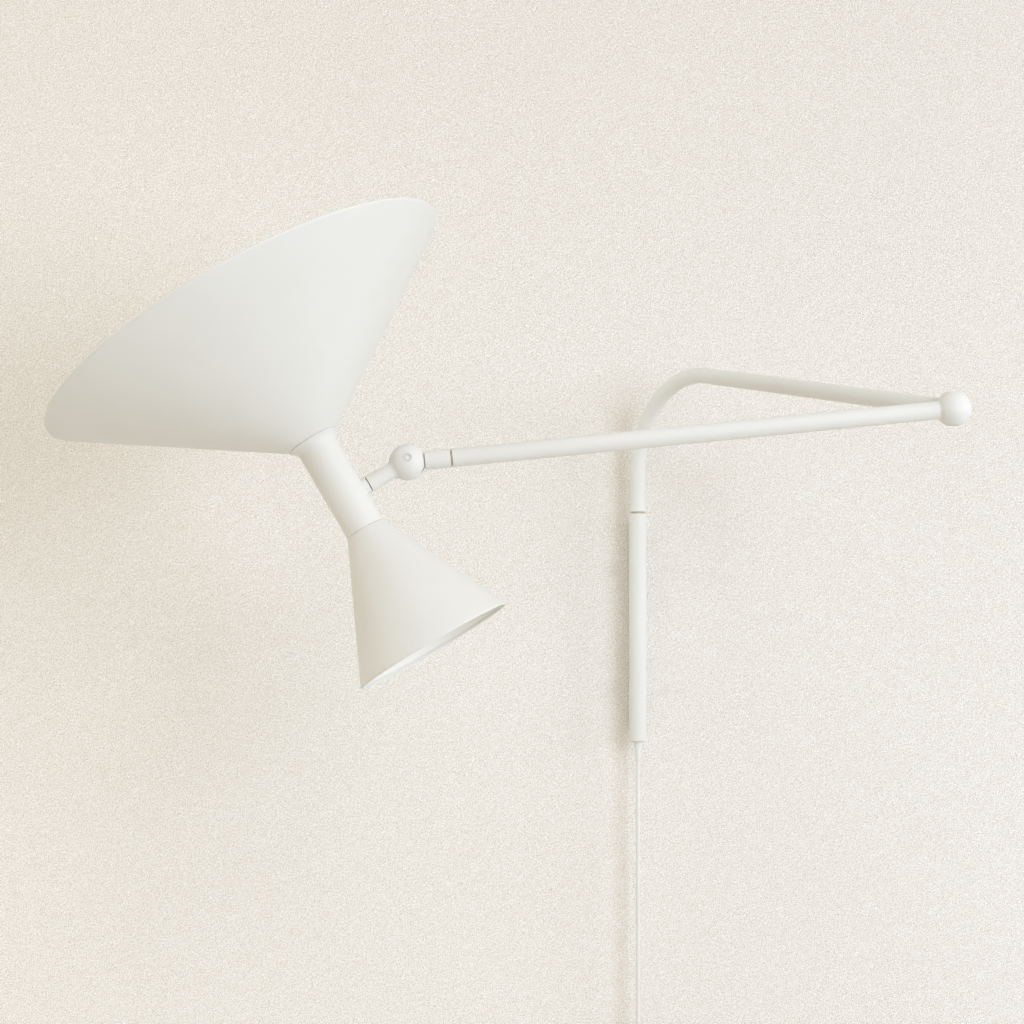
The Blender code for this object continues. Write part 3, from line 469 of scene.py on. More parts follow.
def prism(name, outline, low, high, place, axis="Z"):
    """Extrudes an outline drawn across an axis."""
    order = {"X": (2, 0, 1), "Y": (0, 2, 1), "Z": (0, 1, 2)}[axis]
    bm = bmesh.new()
    ends = []
    for along in (low, high):
        triples = [(a, b, along) for a, b in outline]
        ends.append([bm.verts.new([triple[k] for k in order]) for triple in triples])
    bm.faces.new(ends[0])
    bm.faces.new(ends[1])
    for i in range(len(outline)):
        j = (i + 1) % len(outline)
        bm.faces.new([ends[0][i], ends[0][j], ends[1][j], ends[1][i]])
    return add(name, bm, place)


def loft(name, rings, place, closed=False, sharp=35.0):
    """Skins rings of points, with the first and last capped unless the loft closes on itself."""
    bm = bmesh.new()
    rows = [[bm.verts.new(point) for point in ring] for ring in rings]
    pairs = list(zip(rows, rows[1:] + rows[:1] if closed else rows[1:]))
    for first, second in pairs:
        for i in range(len(first)):
            j = (i + 1) % len(first)
            bm.faces.new([first[i], first[j], second[j], second[i]])
    if not closed:
        bm.faces.new(rows[0])
        bm.faces.new(rows[-1])
    return add(name, bm, place, sharp)


def soften(obj, width=0.18, angle=38.0):
    """Breaks the sharp edges, as paint and tumbling do."""
    bevel = obj.modifiers.new("soft_edges", "BEVEL")
    bevel.width = width * MM
    bevel.segments = 2
    bevel.limit_method = "ANGLE"
    bevel.angle_limit = math.radians(angle)
    bevel.harden_normals = False
    return obj


def settle(obj, sharp=35.0):
    """Applies the modifiers, so that what was cut is the piece's own mesh."""
    bpy.context.view_layer.update()
    graph = bpy.context.evaluated_depsgraph_get()
    mesh = bpy.data.meshes.new_from_object(obj.evaluated_get(graph))
    obj.modifiers.clear()
    obj.data = mesh
    mesh.shade_smooth()
    mesh.set_sharp_from_angle(angle=math.radians(sharp))
    return obj


def carve(obj, cuts=(), adds=()):
    """Joins and then cuts a piece with others, which are used up."""
    tools = [(tool, "UNION") for tool in adds] + [(tool, "DIFFERENCE") for tool in cuts]
    for tool, operation in tools:
        boolean = obj.modifiers.new(tool.name, "BOOLEAN")
        boolean.operation = operation
        boolean.solver = "EXACT"
        boolean.object = tool
    settle(obj)
    for tool, _ in tools:
        bpy.data.objects.remove(tool)
    return obj


def swing_outline(hub, reach, low, high, steps=24):
    """The space that a round-ended tongue sweeps as it swings from angle low to angle high."""

    def at(angle, along, side):
        c, s = math.cos(math.radians(angle)), math.sin(math.radians(angle))
        return (c * along - s * side, s * along + c * side)

    points = [at(low + (high - low) * i / steps, reach, 0) for i in range(steps + 1)]
    points.append(at(high, reach, hub))
    around, back_steps = low + 180 - high, 10
    points += [at(high + 90 + around * i / back_steps, hub, 0) for i in range(back_steps + 1)]
    points.append(at(low, reach, -hub))
    return points


def tongue_outline(tail, half_width, steps=24):
    """A bar from x = tail to the origin, with a round end on the origin."""
    angles = [math.radians(-90 + 180 * i / steps) for i in range(steps + 1)]
    points = [(half_width * math.cos(a), half_width * math.sin(a)) for a in angles]
    return [(tail, -half_width)] + points + [(tail, half_width)]


def ball_outline(neck_r, fillet, steps=32):
    """A ball's outline from its far pole to a fillet onto a neck."""
    side = neck_r + fillet
    along = math.sqrt((BALL_R + fillet) ** 2 - side**2)
    leave = math.degrees(math.atan2(side, along))
    outline = [(0, -BALL_R)] + arc((0, 0), BALL_R, 180, leave, steps)[1:]
    return outline + arc((side, along), fillet, 180 + leave, 270, 8)[1:]


def hex_socket(name, place, axis, at, low, high, radius):
    corners = [point_on("Z", 0, math.radians(60 * i + 30), radius, at)[:2] for i in range(6)]
    return prism(name, corners, low, high, place, axis)


# ---- wall tube


def wall_plate():
    outline = rounded_box(PLATE_HALF_WIDTH, PLATE_HALF_HEIGHT, PLATE_CORNER, 12)
    plate = settle(soften(prism("plate", outline, -PLATE_THICK, 0, WALL, "Y"), PAINT_EDGE))
    bosses, cuts = [], []
    past = BOSS_FRONT + 1.8
    for z in (POST_Z, -POST_Z):
        outline = [(0, -1), (BOSS_FOOT_R, -1), (BOSS_FOOT_R, -PLATE_THICK)]
        outline += [(BOSS_R, -PLATE_THICK - BOSS_FOOT_HIGH), (BOSS_R, -BOSS_FRONT, 0.6), (0, -BOSS_FRONT)]
        bosses.append(lathe("boss", rounded(outline), WALL, "Y", PIN_SIDES, (0, z)))
        bore = [(0, -BOSS_BORE_END), (BOSS_BORE_R, -BOSS_BORE_END), (BOSS_BORE_R, -BOSS_FRONT + 0.4)]
        bore += [(BOSS_MOUTH_R, -BOSS_FRONT - 0.1), (BOSS_MOUTH_R, -past), (0, -past)]
        cuts.append(lathe("bore", bore, WALL, "Y", HOLE_SIDES, (0, z)))
        ends = (z - BOSS_R - 1, z - 1)
        cuts.append(rod("grub", GRUB_HOLE_R, *ends, WALL, "Z", 32, (0, -GRUB_OFF_WALL)))
    for z in (SCREW_HOLE_Z, -SCREW_HOLE_Z):
        throat = 2.1 - PLATE_THICK
        sink = [(0, -4), (SCREW_SINK_R + 1, -4), (SCREW_HOLE_R, throat), (SCREW_HOLE_R, 1), (0, 1)]
        cuts.append(lathe("sink", sink, WALL, "Y", HOLE_SIDES, (0, z)))
    dress(carve(plate, cuts, bosses), "wall_plate")


def wall_tube():
    high, inner, outer = WALL_TUBE_HALF, 0.25, 0.55
    corners = [(WALL_TUBE_BORE, -high, inner), (WALL_TUBE_R, -high, outer)]
    corners += [(WALL_TUBE_R, high, outer), (WALL_TUBE_BORE, high, inner)]
    tube = lathe("tube", rounded(corners), POST, "Z", TUBE_SIDES)
    posts = []
    for z in (POST_Z, -POST_Z):
        post = [(0, WELD_OUTLINE[0][1]), *WELD_OUTLINE, (POST_R, POST_TIP, PAINT_EDGE), (0, POST_TIP)]
        posts.append(lathe("post", rounded(post), POST, "Y", HOLE_SIDES, (0, z)))
    lock_hole = rod("lock", GRUB_HOLE_R, 5, 9, POST, "Y", 32, (0, LOCK_Z))
    dress(carve(tube, [lock_hole], posts), "wall_tube")


def grub_screw(node, place, axis, at, tip, head):
    """A set screw with a pointed tip and a hexagon socket."""
    way = 1 if head > tip else -1
    corners = [(0, tip), (GRUB_R - GRUB_POINT, tip), (GRUB_R, tip + GRUB_POINT * way)]
    corners += [(GRUB_R, head, BORE_EDGE), (0, head)]
    screw = lathe("screw", rounded(corners), place, axis, 40, at)
    ends = sorted((head - GRUB_SOCKET_DEEP * way, head + way))
    dress(carve(screw, [hex_socket("socket", place, axis, at, *ends, GRUB_SOCKET_R)]), node)


def tube_fittings():
    for side, z in (("upper", POST_Z), ("lower", -POST_Z)):
        at = (0, -GRUB_OFF_WALL)
        grub_screw(f"post_screw_{side}", WALL, "Z", at, z - POST_R - 0.15, z - BOSS_R + 0.1)
    grub_screw("swivel_lock_screw", POST, "Y", (0, LOCK_Z), LOCK_TIP, WALL_TUBE_R - 0.2)
    seat = WALL_TUBE_HALF + GAP
    foot, top = seat - BUSH_LENGTH, seat + BUSH_FLANGE_THICK
    corners = [(BUSH_BORE, foot, BORE_EDGE), (BUSH_R, foot, EDGE), (BUSH_R, seat)]
    corners += [(BUSH_FLANGE_R, seat, THIN_EDGE), (BUSH_FLANGE_R, top, BORE_EDGE)]
    corners += [(BUSH_BORE, top, BORE_EDGE)]
    dress(lathe("bush", rounded(corners), POST), "upper_bush")
    under = -WALL_TUBE_HALF - GAP
    corners = [(END_CAP_BORE, END_CAP_TOP, BORE_EDGE), (BUSH_R, END_CAP_TOP, PAINT_EDGE)]
    corners += [(BUSH_R, under), (WALL_TUBE_R - 0.7, under, 0.15)]
    corners += [(WALL_TUBE_R - 1.1, END_CAP_FOOT, EDGE), (END_CAP_BORE, END_CAP_FOOT, BORE_EDGE)]
    dress(lathe("cap", rounded(corners), POST), "tube_end_cap")


def strain_relief():
    """A soft tapered sleeve, with its shank held in the end cap."""
    lip, tip_lip = 0.35, 0.25
    outline = [(0, RELIEF_TOP), (RELIEF_SHANK_R, RELIEF_TOP), (RELIEF_SHANK_R, RELIEF_COLLAR)]
    outline += arc((RELIEF_R - lip, RELIEF_COLLAR - lip), lip, 0, 90, 5)
    start, end, steps = RELIEF_COLLAR - 0.5, RELIEF_TIP + tip_lip, 16
    for i in range(1, steps + 1):
        share = i / steps
        fall = 1 - (1 - share) ** RELIEF_CURVE
        radius = RELIEF_R - (RELIEF_R - RELIEF_TIP_R) * fall
        outline.append((radius, start + (end - start) * share))
    outline += arc((RELIEF_TIP_R - tip_lip, end), tip_lip, 90, 180, 4)[1:] + [(0, RELIEF_TIP)]
    return dress(lathe("relief", outline, POST, "Z", 56), "strain_relief")


# ---- arms


def tube_rings(path, radii, segments):
    """Rings across a path in the XZ plane."""
    side = Vector((0, 1, 0))
    rings = []
    for i, (point, radius) in enumerate(zip(path, radii)):
        run = (path[min(i + 1, len(path) - 1)] - path[max(i - 1, 0)]).normalized()
        over = run.cross(side)
        angles = [2 * math.pi * k / segments for k in range(segments)]
        rings.append([point + (side * math.cos(a) + over * math.sin(a)) * radius for a in angles])
    return rings


def back_arm():
    """The stem flares onto the wall tube, bends over in one even curve and runs down to the elbow."""
    edge, edge_steps, flare_steps, bend_steps = 0.35, 4, 14, 60
    path, radii = [], []
    for i in range(edge_steps + 1):
        angle = math.radians(90 * i / edge_steps)
        path.append(Vector((0, 0, STEM_FOOT + edge * (1 - math.cos(angle)))))
        radii.append(STEM_FLARE_R - edge + edge * math.sin(angle))
    for i in range(1, flare_steps + 1):
        height = edge + (STEM_FLARE_HIGH - edge) * i / flare_steps
        rise = height / STEM_FLARE_HIGH
        path.append(Vector((0, 0, STEM_FOOT + height)))
        radii.append(ARM_R + (STEM_FLARE_R - ARM_R) * (1 - rise) ** 2)
    path.append(Vector((0, 0, STEM_TOP)))
    radii.append(ARM_R)
    for i in range(1, bend_steps + 1):
        angle = math.radians((90 + BACK_ARM_SLOPE) * i / bend_steps)
        x, z = BEND_R * (1 - math.cos(angle)), STEM_TOP + BEND_R * math.sin(angle)
        path.append(Vector((x, 0, z)))
        radii.append(ARM_R)
    slope = math.radians(BACK_ARM_SLOPE)
    run = Vector((math.cos(slope), 0, -math.sin(slope)))
    length = (BACK_ARM_REACH - path[-1].x) / run.x - NOSE_SHOULDER - GAP
    end = path[-1] + run * length
    for i in range(edge_steps + 1):
        angle = math.radians(90 * i / edge_steps)
        path.append(end - run * edge * (1 - math.sin(angle)))
        radii.append(ARM_R - edge * (1 - math.cos(angle)))
    back = path[::-1]
    rings = tube_rings(path, radii, ARM_SIDES)
    # The inner path runs backwards, so each of its rings is turned to face the outer one
    for ring in tube_rings(back, [ARM_BORE] * len(back), ARM_SIDES):
        rings.append([ring[(ARM_SIDES // 2 - k) % ARM_SIDES] for k in range(ARM_SIDES)])
    dress(loft("arm", rings, BACK, closed=True), "back_arm_tube")


def elbow_tongue():
    """A plug held in the arm's end, a short nose and a flat tongue in one casting."""
    low, high, shoulder = -NOSE_SHOULDER - PLUG_LENGTH, -NOSE_TIP, -NOSE_SHOULDER
    corners = [(0, low), (PLUG_R, low, PAINT_EDGE), (PLUG_R, shoulder), (ARM_R, shoulder, BORE_EDGE)]
    corners += [(ARM_R, shoulder + 1.2, 1.0), (NOSE_TIP_R, high, 0.6), (0, high)]
    tongue = lathe("tongue", rounded(corners), BACK_LINE, "X")
    bar = prism("bar", tongue_outline(1 - NOSE_SHOULDER, TONGUE_WIDTH), -TONGUE_HALF, TONGUE_HALF, LUG)
    hole = rod("hole", PIN_BORE, -PIN_HOLE_REACH, PIN_HOLE_REACH, LUG)
    dress(carve(tongue, [hole], [settle(soften(bar, EDGE))]), "elbow_tongue")


def open_ball(ball, place, axis, sweep, head_r, head_top):
    """Cuts the slot, the pin's bore and its two counterbores."""
    far, seat = BALL_R + 2, head_top - PIN_HEAD_THICK - GAP
    slot = prism("slot", sweep, -SLOT_HALF, SLOT_HALF, place, axis)
    bore = rod("bore", PIN_BORE, -far, far, place, axis)
    head = rod("head_seat", head_r + HEAD_GAP, seat, far, place, axis)
    nut = rod("nut_seat", NUT_R + GAP, -far, -NUT_SEAT, place, axis)
    return carve(ball, [slot, bore, head, nut])


def pin_and_nut(joint, place, axis, head_r, head_top):
    """A shoulder pin with a ring groove in its head, and a slotted round nut."""
    seat, middle_top, groove_foot = head_top - PIN_HEAD_THICK, head_top - 0.1, head_top - GROOVE_DEEP
    foot = -NUT_SEAT - NUT_THICK
    corners = [(0, foot), (PIN_R, foot, PAINT_EDGE), (PIN_R, seat), (head_r, seat, 0.15)]
    groove, middle = head_r - HEAD_RIM, head_r - HEAD_RIM - HEAD_GROOVE
    corners += [(head_r, head_top, EDGE), (groove, head_top, EDGE), (groove, groove_foot)]
    corners += [(middle, groove_foot), (middle, middle_top, 0.5), (0, middle_top)]
    dress(lathe("pin", rounded(corners), place, axis, PIN_SIDES), f"{joint}_pin")
    low, high = foot - GAP, -NUT_SEAT - GAP
    corners = [(PIN_BORE, low, EDGE), (NUT_R, low, 0.35)]
    corners += [(NUT_R, high, BORE_EDGE), (PIN_BORE, high, BORE_EDGE)]
    nut = lathe("nut", rounded(corners), place, axis, PIN_SIDES)
    reach = NUT_R + 2
    notch = [(-reach, -NOTCH_HALF), (reach, -NOTCH_HALF), (reach, NOTCH_HALF), (-reach, NOTCH_HALF)]
    slot = prism("notch", notch, low - 1, low + NOTCH_DEEP, place, axis)
    dress(carve(nut, [slot]), f"{joint}_nut")


def front_arm():
    """Ball and tube welded and painted as one, so that no seam shows between them."""
    end, bottom = FRONT_ARM_LENGTH - FERRULE_BACK - RING_GAP, 3.4
    tail = [(ARM_R, end, PAINT_EDGE), (ARM_BORE, end, BORE_EDGE), (ARM_BORE, FRONT_HOLLOW)]
    tail += [(LEAD_HOLE_R, FRONT_HOLLOW), (LEAD_HOLE_R, bottom), (0, bottom)]
    front = ball_outline(ARM_R, ELBOW_FILLET)
    outline = front + rounded([front[-1]] + tail + [front[0]])[1:-1]
    arm = lathe("arm", outline, FRONT_LINE, "X", TUBE_SIDES)
    to_post = ELBOW.inverted() @ post_at
    sweep_low, sweep_high = swing_limits("elbow_swing", math.degrees(math.atan2(to_post.y, to_post.x)))
    sweep = swing_outline(TONGUE_WIDTH + GAP, BALL_R + 4, sweep_low, sweep_high)
    open_ball(arm, ELBOW, "Z", sweep, ELBOW_HEAD_R, ELBOW_HEAD_TOP)
    dress(arm, "front_arm_tube", "elbow_ball")
    pin_and_nut("elbow", ELBOW, "Z", ELBOW_HEAD_R, ELBOW_HEAD_TOP)


def roll_bush():
    """A flanged nylon bush in the front arm's end, round the ferrule's shank."""
    back, far = -FERRULE_BACK - GAP, -ROLL_BUSH_END
    seat = back - 0.5
    corners = [(ROLL_BUSH_BORE, far, BORE_EDGE), (ROLL_BUSH_R, far, BORE_EDGE), (ROLL_BUSH_R, seat)]
    corners += [(ROLL_FLANGE_R, seat, THIN_EDGE), (ROLL_FLANGE_R, back, THIN_EDGE)]
    corners += [(ROLL_BUSH_BORE, back, THIN_EDGE)]
    dress(lathe("bush", rounded(corners), ROLL, "X"), "roll_bush")


def swing_limits(joint, rest):
    """The angles between which the tongue swings in its ball, with a degree to spare."""
    low, high = next(j["range_deg"] for j in frame["joints"] if j["name"] == joint)
    return rest - high - 1, rest - low + 1


def ferrule():
    """A ring the width of the arm, with a grooved shank behind it and a tongue before it."""
    groove_low, groove_high = (-end for end in ROLL_GROOVE)
    corners = [(SHANK_BORE, -SHANK_END, BORE_EDGE), (SHANK_R, -SHANK_END, EDGE), (SHANK_R, groove_low)]
    corners += [(ROLL_GROOVE_R, groove_low), (ROLL_GROOVE_R, groove_high), (SHANK_R, groove_high)]
    corners += [(SHANK_R, -FERRULE_BACK), (ARM_R, -FERRULE_BACK, PAINT_EDGE)]
    corners += [(ARM_R, -FERRULE_FRONT, PAINT_EDGE), (5.0, -12.0), (3.2, -12.6), (SHANK_BORE, -12.85)]
    body = lathe("ferrule", rounded(corners), ROLL, "X", TUBE_SIDES)
    bar = prism("bar", tongue_outline(-16, TONGUE_WIDTH), -TONGUE_HALF, TONGUE_HALF, ROLL, "Y")
    hole = rod("hole", PIN_BORE, -PIN_HOLE_REACH, PIN_HOLE_REACH, ROLL, "Y")
    dress(carve(body, [hole], [settle(soften(bar, EDGE))]), "arm_ferrule")


def wrist():
    """The second ball, with the stub that carries the head."""
    bottom = 4.0
    tail = [(STUB_R, STUB_END, PAINT_EDGE), (STUB_BORE, STUB_END, BORE_EDGE), (STUB_BORE, STUB_BORE_START)]
    tail += [(LEAD_HOLE_R, STUB_BORE_START), (LEAD_HOLE_R, bottom), (0, bottom)]
    front = ball_outline(STUB_R, STUB_FILLET)
    outline = front + rounded([front[-1]] + tail + [front[0]])[1:-1]
    ball = lathe("ball", outline, TILT, "X", TUBE_SIDES)
    arm = TILT.to_3x3().inverted() @ -roll_axis
    rest = math.degrees(math.atan2(arm.z, arm.x)) % 360
    low, high = next(j["range_deg"] for j in frame["joints"] if j["name"] == "wrist_tilt")
    sweep = swing_outline(TONGUE_WIDTH + GAP, BALL_R + 4, rest + low - 1, rest + high + 1)
    open_ball(ball, TILT, "Y", sweep, WRIST_HEAD_R, WRIST_HEAD_TOP)
    dress(ball, "wrist_ball")
    pin_and_nut("wrist", TILT, "Y", WRIST_HEAD_R, WRIST_HEAD_TOP)


# ---- head


def neck():
    """A tube flared towards the wide shade, with a round boss on its side for the stub."""
    centre = NECK_R + FLARE_FILLET
    sweep = math.degrees(math.acos((centre - FLARE_R) / FLARE_FILLET))
    lip, top_edge = 0.9, 0.25
    flare_start = NECK_TOP - lip - FLARE_FILLET * math.sin(math.radians(sweep))
    foot = [(NECK_BORE, NECK_FOOT, BORE_EDGE), (NECK_R, NECK_FOOT, top_edge)]
    outline = rounded([(NECK_R, 0), (NECK_BORE, 0)] + foot + [(NECK_R, 0)])[2:-1]
    outline += arc((centre, flare_start), FLARE_FILLET, 270, 270 + sweep, 24)
    outline += arc((FLARE_R - top_edge, NECK_TOP - top_edge), top_edge, 90, 0, 4)
    outline += [(15.2, NECK_TOP), (NECK_BORE, NECK_TOP - 6)]
    body = lathe("neck", outline, HEAD, "Z", HEAD_SIDES)
    boss = rod("boss", STUB_R, BOSS_END, -NECK_BORE - 0.05, HEAD, "X", ARM_SIDES, edge=0.35)
    pad = rod("pad", PAD_R, -NECK_BORE - 0.4, PAD_FACE, HEAD, "X", PIN_SIDES, edge=BORE_EDGE)
    bore = rod("bore", NIPPLE_HOLE_R, BOSS_END - 2, PAD_FACE + 3, HEAD, "X")
    dress(carve(body, [bore], [pad, boss]), "neck_body")


def shade(node, seat_r, seat_z, rim_r, rim_z, segments):
    """A spun cone with a flat floor, and a hem rolled inwards at its rim."""
    up = 1 if rim_z > seat_z else -1
    run = Vector((rim_r - seat_r, rim_z - seat_z)).normalized()
    inward = Vector((-run.y * up, run.x * up))
    wall = inward * SHEET
    floor_z = seat_z + up * SHEET
    floor_r = seat_r + wall.x + (floor_z - seat_z - wall.y) * run.x / run.y
    hem = Vector((rim_r, rim_z)) + inward * HEM_R - run * 0.1
    start = math.atan2(-inward.y, -inward.x)
    turn = math.atan2(run.y, run.x) - start
    way = 1 if math.sin(turn) > 0 else -1
    bead, bead_steps, steps = [], 20, 14
    for i in range(bead_steps + 1):
        angle = start + way * math.radians(HEM_TURN) * i / bead_steps
        bead.append((hem.x + HEM_R * math.cos(angle), hem.y + HEM_R * math.sin(angle)))
    outer = [Vector((seat_r, seat_z)).lerp(Vector(bead[0]), i / steps) for i in range(1, steps)]
    tuck = Vector(bead[0]) - run * HEM_TUCK + wall
    inner = [tuck.lerp(Vector((floor_r, floor_z)), i / steps) for i in range(steps + 1)]
    outline = rounded([(ROD_HOLE_R, seat_z), (seat_r, seat_z, EDGE), tuple(outer[0])])[:-1]
    outline += [tuple(p) for p in outer] + bead
    first_inside = len(outline)
    outline += [tuple(p) for p in inner] + [(ROD_HOLE_R, floor_z)]
    piece = lathe("shade", outline, HEAD, "Z", segments)
    marks = piece.data.attributes.new("inner", "FLOAT", "POINT")
    rows = [k // segments for k in range(len(marks.data))]
    marks.data.foreach_set("value", [float(row >= first_inside) for row in rows])
    dress(piece, node)


def heat_sink(name, seat, up, throat_r, deck_r, deck_z, fin_count):
    """A recessed deck on a core, with fins round the core."""
    under, top, deep = deck_z - up * DECK_THICK, deck_z, deck_z - up * DECK_RECESS
    core_r = throat_r - 1.5
    corners = [(ROD_HOLE_R, seat, THIN_EDGE), (core_r, seat, EDGE), (core_r, under), (deck_r, under, EDGE)]
    corners += [(deck_r, top, PAINT_EDGE), (0, top), (0, deep), (ROD_HOLE_R, deep)]
    sink = lathe("sink", rounded(corners), HEAD, "Z", TUBE_SIDES)
    root_r, foot_z, sunk_z = throat_r - 2.5, seat + up * 0.4, under + up * 0.5
    profile = [(root_r, foot_z), (throat_r, foot_z), (deck_r - 1.2, sunk_z), (root_r, sunk_z)]
    bm = bmesh.new()
    for i in range(fin_count):
        angle = math.radians(360 * i / fin_count)
        outward = Vector((math.cos(angle), math.sin(angle), 0))
        side = Vector((-math.sin(angle), math.cos(angle), 0)) * FIN_HALF
        rings = [[outward * r + UP * z + side * way for r, z in profile] for way in (-1, 1)]
        fin = loft("fin", rings, HEAD)
        bm.from_mesh(fin.data)
        bpy.data.objects.remove(fin)
    fins = add("fins", bm, Matrix.Scale(1 / MM, 4))
    dress(carve(sink, adds=[fins]), f"{name}_heat_sink")


def diffuser(name, up, deck_r, deck_z, wall):
    """An opal cup with a skirt that clips over the deck."""
    skirt, foot, spring = deck_r + 0.4, deck_z - up * (DECK_THICK - 0.4), deck_z + up * 3
    height, steps = deck_r * CUP_RISE, 20
    outer, inner = [], []
    for i in range(steps + 1):
        angle = math.radians(90 * i / steps)
        c, s = (0 if i == steps else math.cos(angle)), math.sin(angle)
        outer.append(((skirt + wall) * c, spring + up * (height + wall) * s))
        inner.append((skirt * c, spring + up * height * s))
    rim = [(skirt, spring), (skirt, foot, PAINT_EDGE), (skirt + wall, foot, 0.5), (skirt + wall, spring)]
    cup = lathe("cup", rounded(rim)[1:-1] + outer + inner[::-1], HEAD, "Z", HEAD_SIDES)
    dress(cup, f"{name}_diffuser")


def head():
    neck()
    upper_seat, lower_seat = NECK_TOP + SEAM, NECK_FOOT - SEAM
    shade("upper_shade", FLARE_R, upper_seat, UPPER_RIM_R, UPPER_RIM_Z, UPPER_SIDES)
    shade("lower_shade", LOWER_SEAT_R, lower_seat, LOWER_RIM_R, LOWER_RIM_Z, LOWER_SIDES)
    upper_sink, lower_sink = upper_seat + SHEET + GAP, lower_seat - SHEET - GAP
    upper_deck, lower_deck = upper_sink + UPPER_MODULE, lower_sink - LOWER_MODULE
    heat_sink("upper", upper_sink, 1, UPPER_THROAT_R, UPPER_DECK_R, upper_deck, LARGE_FINS)
    diffuser("upper", 1, UPPER_DECK_R, upper_deck, LARGE_CUP_WALL)
    heat_sink("lower", lower_sink, -1, LOWER_THROAT_R, LOWER_DECK_R, lower_deck, SMALL_FINS)
    diffuser("lower", -1, LOWER_DECK_R, lower_deck, SMALL_CUP_WALL)


# ---- supply cord


def coil_points():
    """Four flat layers wound in, out, in and out, clockwise as seen from the room."""
    points, per_turn = [], 28
    first_y = -COIL_PITCH * (COIL_LAYERS - 1) / 2
    for i in range(round(COIL_TURNS * COIL_LAYERS * per_turn) + 1):
        turns = i / per_turn
        layer = min(int(turns / COIL_TURNS), COIL_LAYERS - 1)
        within = turns - layer * COIL_TURNS
        deep = within if layer % 2 == 0 else COIL_TURNS - within
        radius = COIL_OUT - COIL_PITCH * deep
        y = first_y
        for change in range(1, COIL_LAYERS):
            share = min(1, max(0, turns - change * COIL_TURNS + 0.5))
            y += COIL_PITCH * share * share * (3 - 2 * share)
        angle = math.radians(COIL_START) - 2 * math.pi * turns
        points.append((radius * math.cos(angle), y, COIL_Z + radius * math.sin(angle)))
    return points


def supply_cord(relief):
    """The cord hangs from the relief, is wound in a tied coil and ends in the plug."""
    drop = [(0, 0, RELIEF_TIP - GAP), (0, 0, -150), (0, 0, -190), (0, 0, -230), (0, 0, -270)]
    drop += [(0, 0, -300), (0, -0.4, -325), (0, -1.3, -338), (0.3, -2.2, -344)]
    drop += [(1.6, -3.3, -349.5), (3.9, -4.4, -354.2), (9.6, -5.2, -359.6)]
    tail = [(25.9, 5.4, -391.5), (25.0, 5.4, -399.6), (22.8, 5.2, -405.4), (19.6, 4.4, -410.4)]
    tail += [(16.0, 2.7, -415.0), (13.6, 1.1, -419.2), (12.8, 0.3, -421.7), (PLUG_X, 0, PLUG_TOP + GAP)]
    route = drop + coil_points() + tail
    curve = bpy.data.curves.new("supply_cord", "CURVE")
    curve.dimensions = "3D"
    curve.bevel_depth = CORD_R * MM
    curve.bevel_resolution = 8
    curve.resolution_u = 3
    curve.use_fill_caps = True
    spline = curve.splines.new("BEZIER")
    spline.bezier_points.add(len(route) - 1)
    for knot, point in zip(spline.bezier_points, route):
        knot.co = post_at + Vector(point) * MM
        knot.handle_left_type = knot.handle_right_type = "AUTO"
    cord = bpy.data.objects.new("supply_cord", curve)
    bpy.context.scene.collection.objects.link(cord)
    curve.materials.append(MATERIALS["cord"])
    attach(cord, "wall_mount")
    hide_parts("cord_drop", "cord_coil", "cord_tail")
    plug() + [coil_tie(), relief]


def coil_tie():
    """A strap round the coil's left side, closed by a head on its front."""
    left, right = -COIL_RIM_OUT - GAP, -COIL_RIM_IN + 0.8
    middle, half_x, half_y = (left + right) / 2, (right - left) / 2, COIL_HALF + GAP

    def band(grow, z):
        outline = rounded_box(half_x + grow, half_y + grow, TIE_CORNER + grow, 6)
        return [(middle + a, b, z) for a, b in outline]

    low, high = COIL_Z - TIE_WIDTH / 2, COIL_Z + TIE_WIDTH / 2
    outside = TIE_THICK - TIE_EDGE
    rings = [band(0, low + TIE_EDGE), band(TIE_EDGE, low), band(outside, low)]
    rings += [band(TIE_THICK, low + TIE_EDGE), band(TIE_THICK, high - TIE_EDGE), band(outside, high)]
    rings += [band(TIE_EDGE, high), band(0, high - TIE_EDGE)]
    strap = loft("strap", rings, POST, closed=True)
    front = -half_y - TIE_THICK
    near, far = front - TIE_HEAD_OUT, front + TIE_HEAD_IN
    left, right = middle - TIE_HEAD_HALF, middle + TIE_HEAD_HALF
    block = [(left, near), (right, near), (right, far), (left, far)]
    head_block = settle(soften(prism("block", block, low - 0.4, high + 0.4, POST), PAINT_EDGE))
    return dress(carve(strap, adds=[head_block]), "cord_tie")


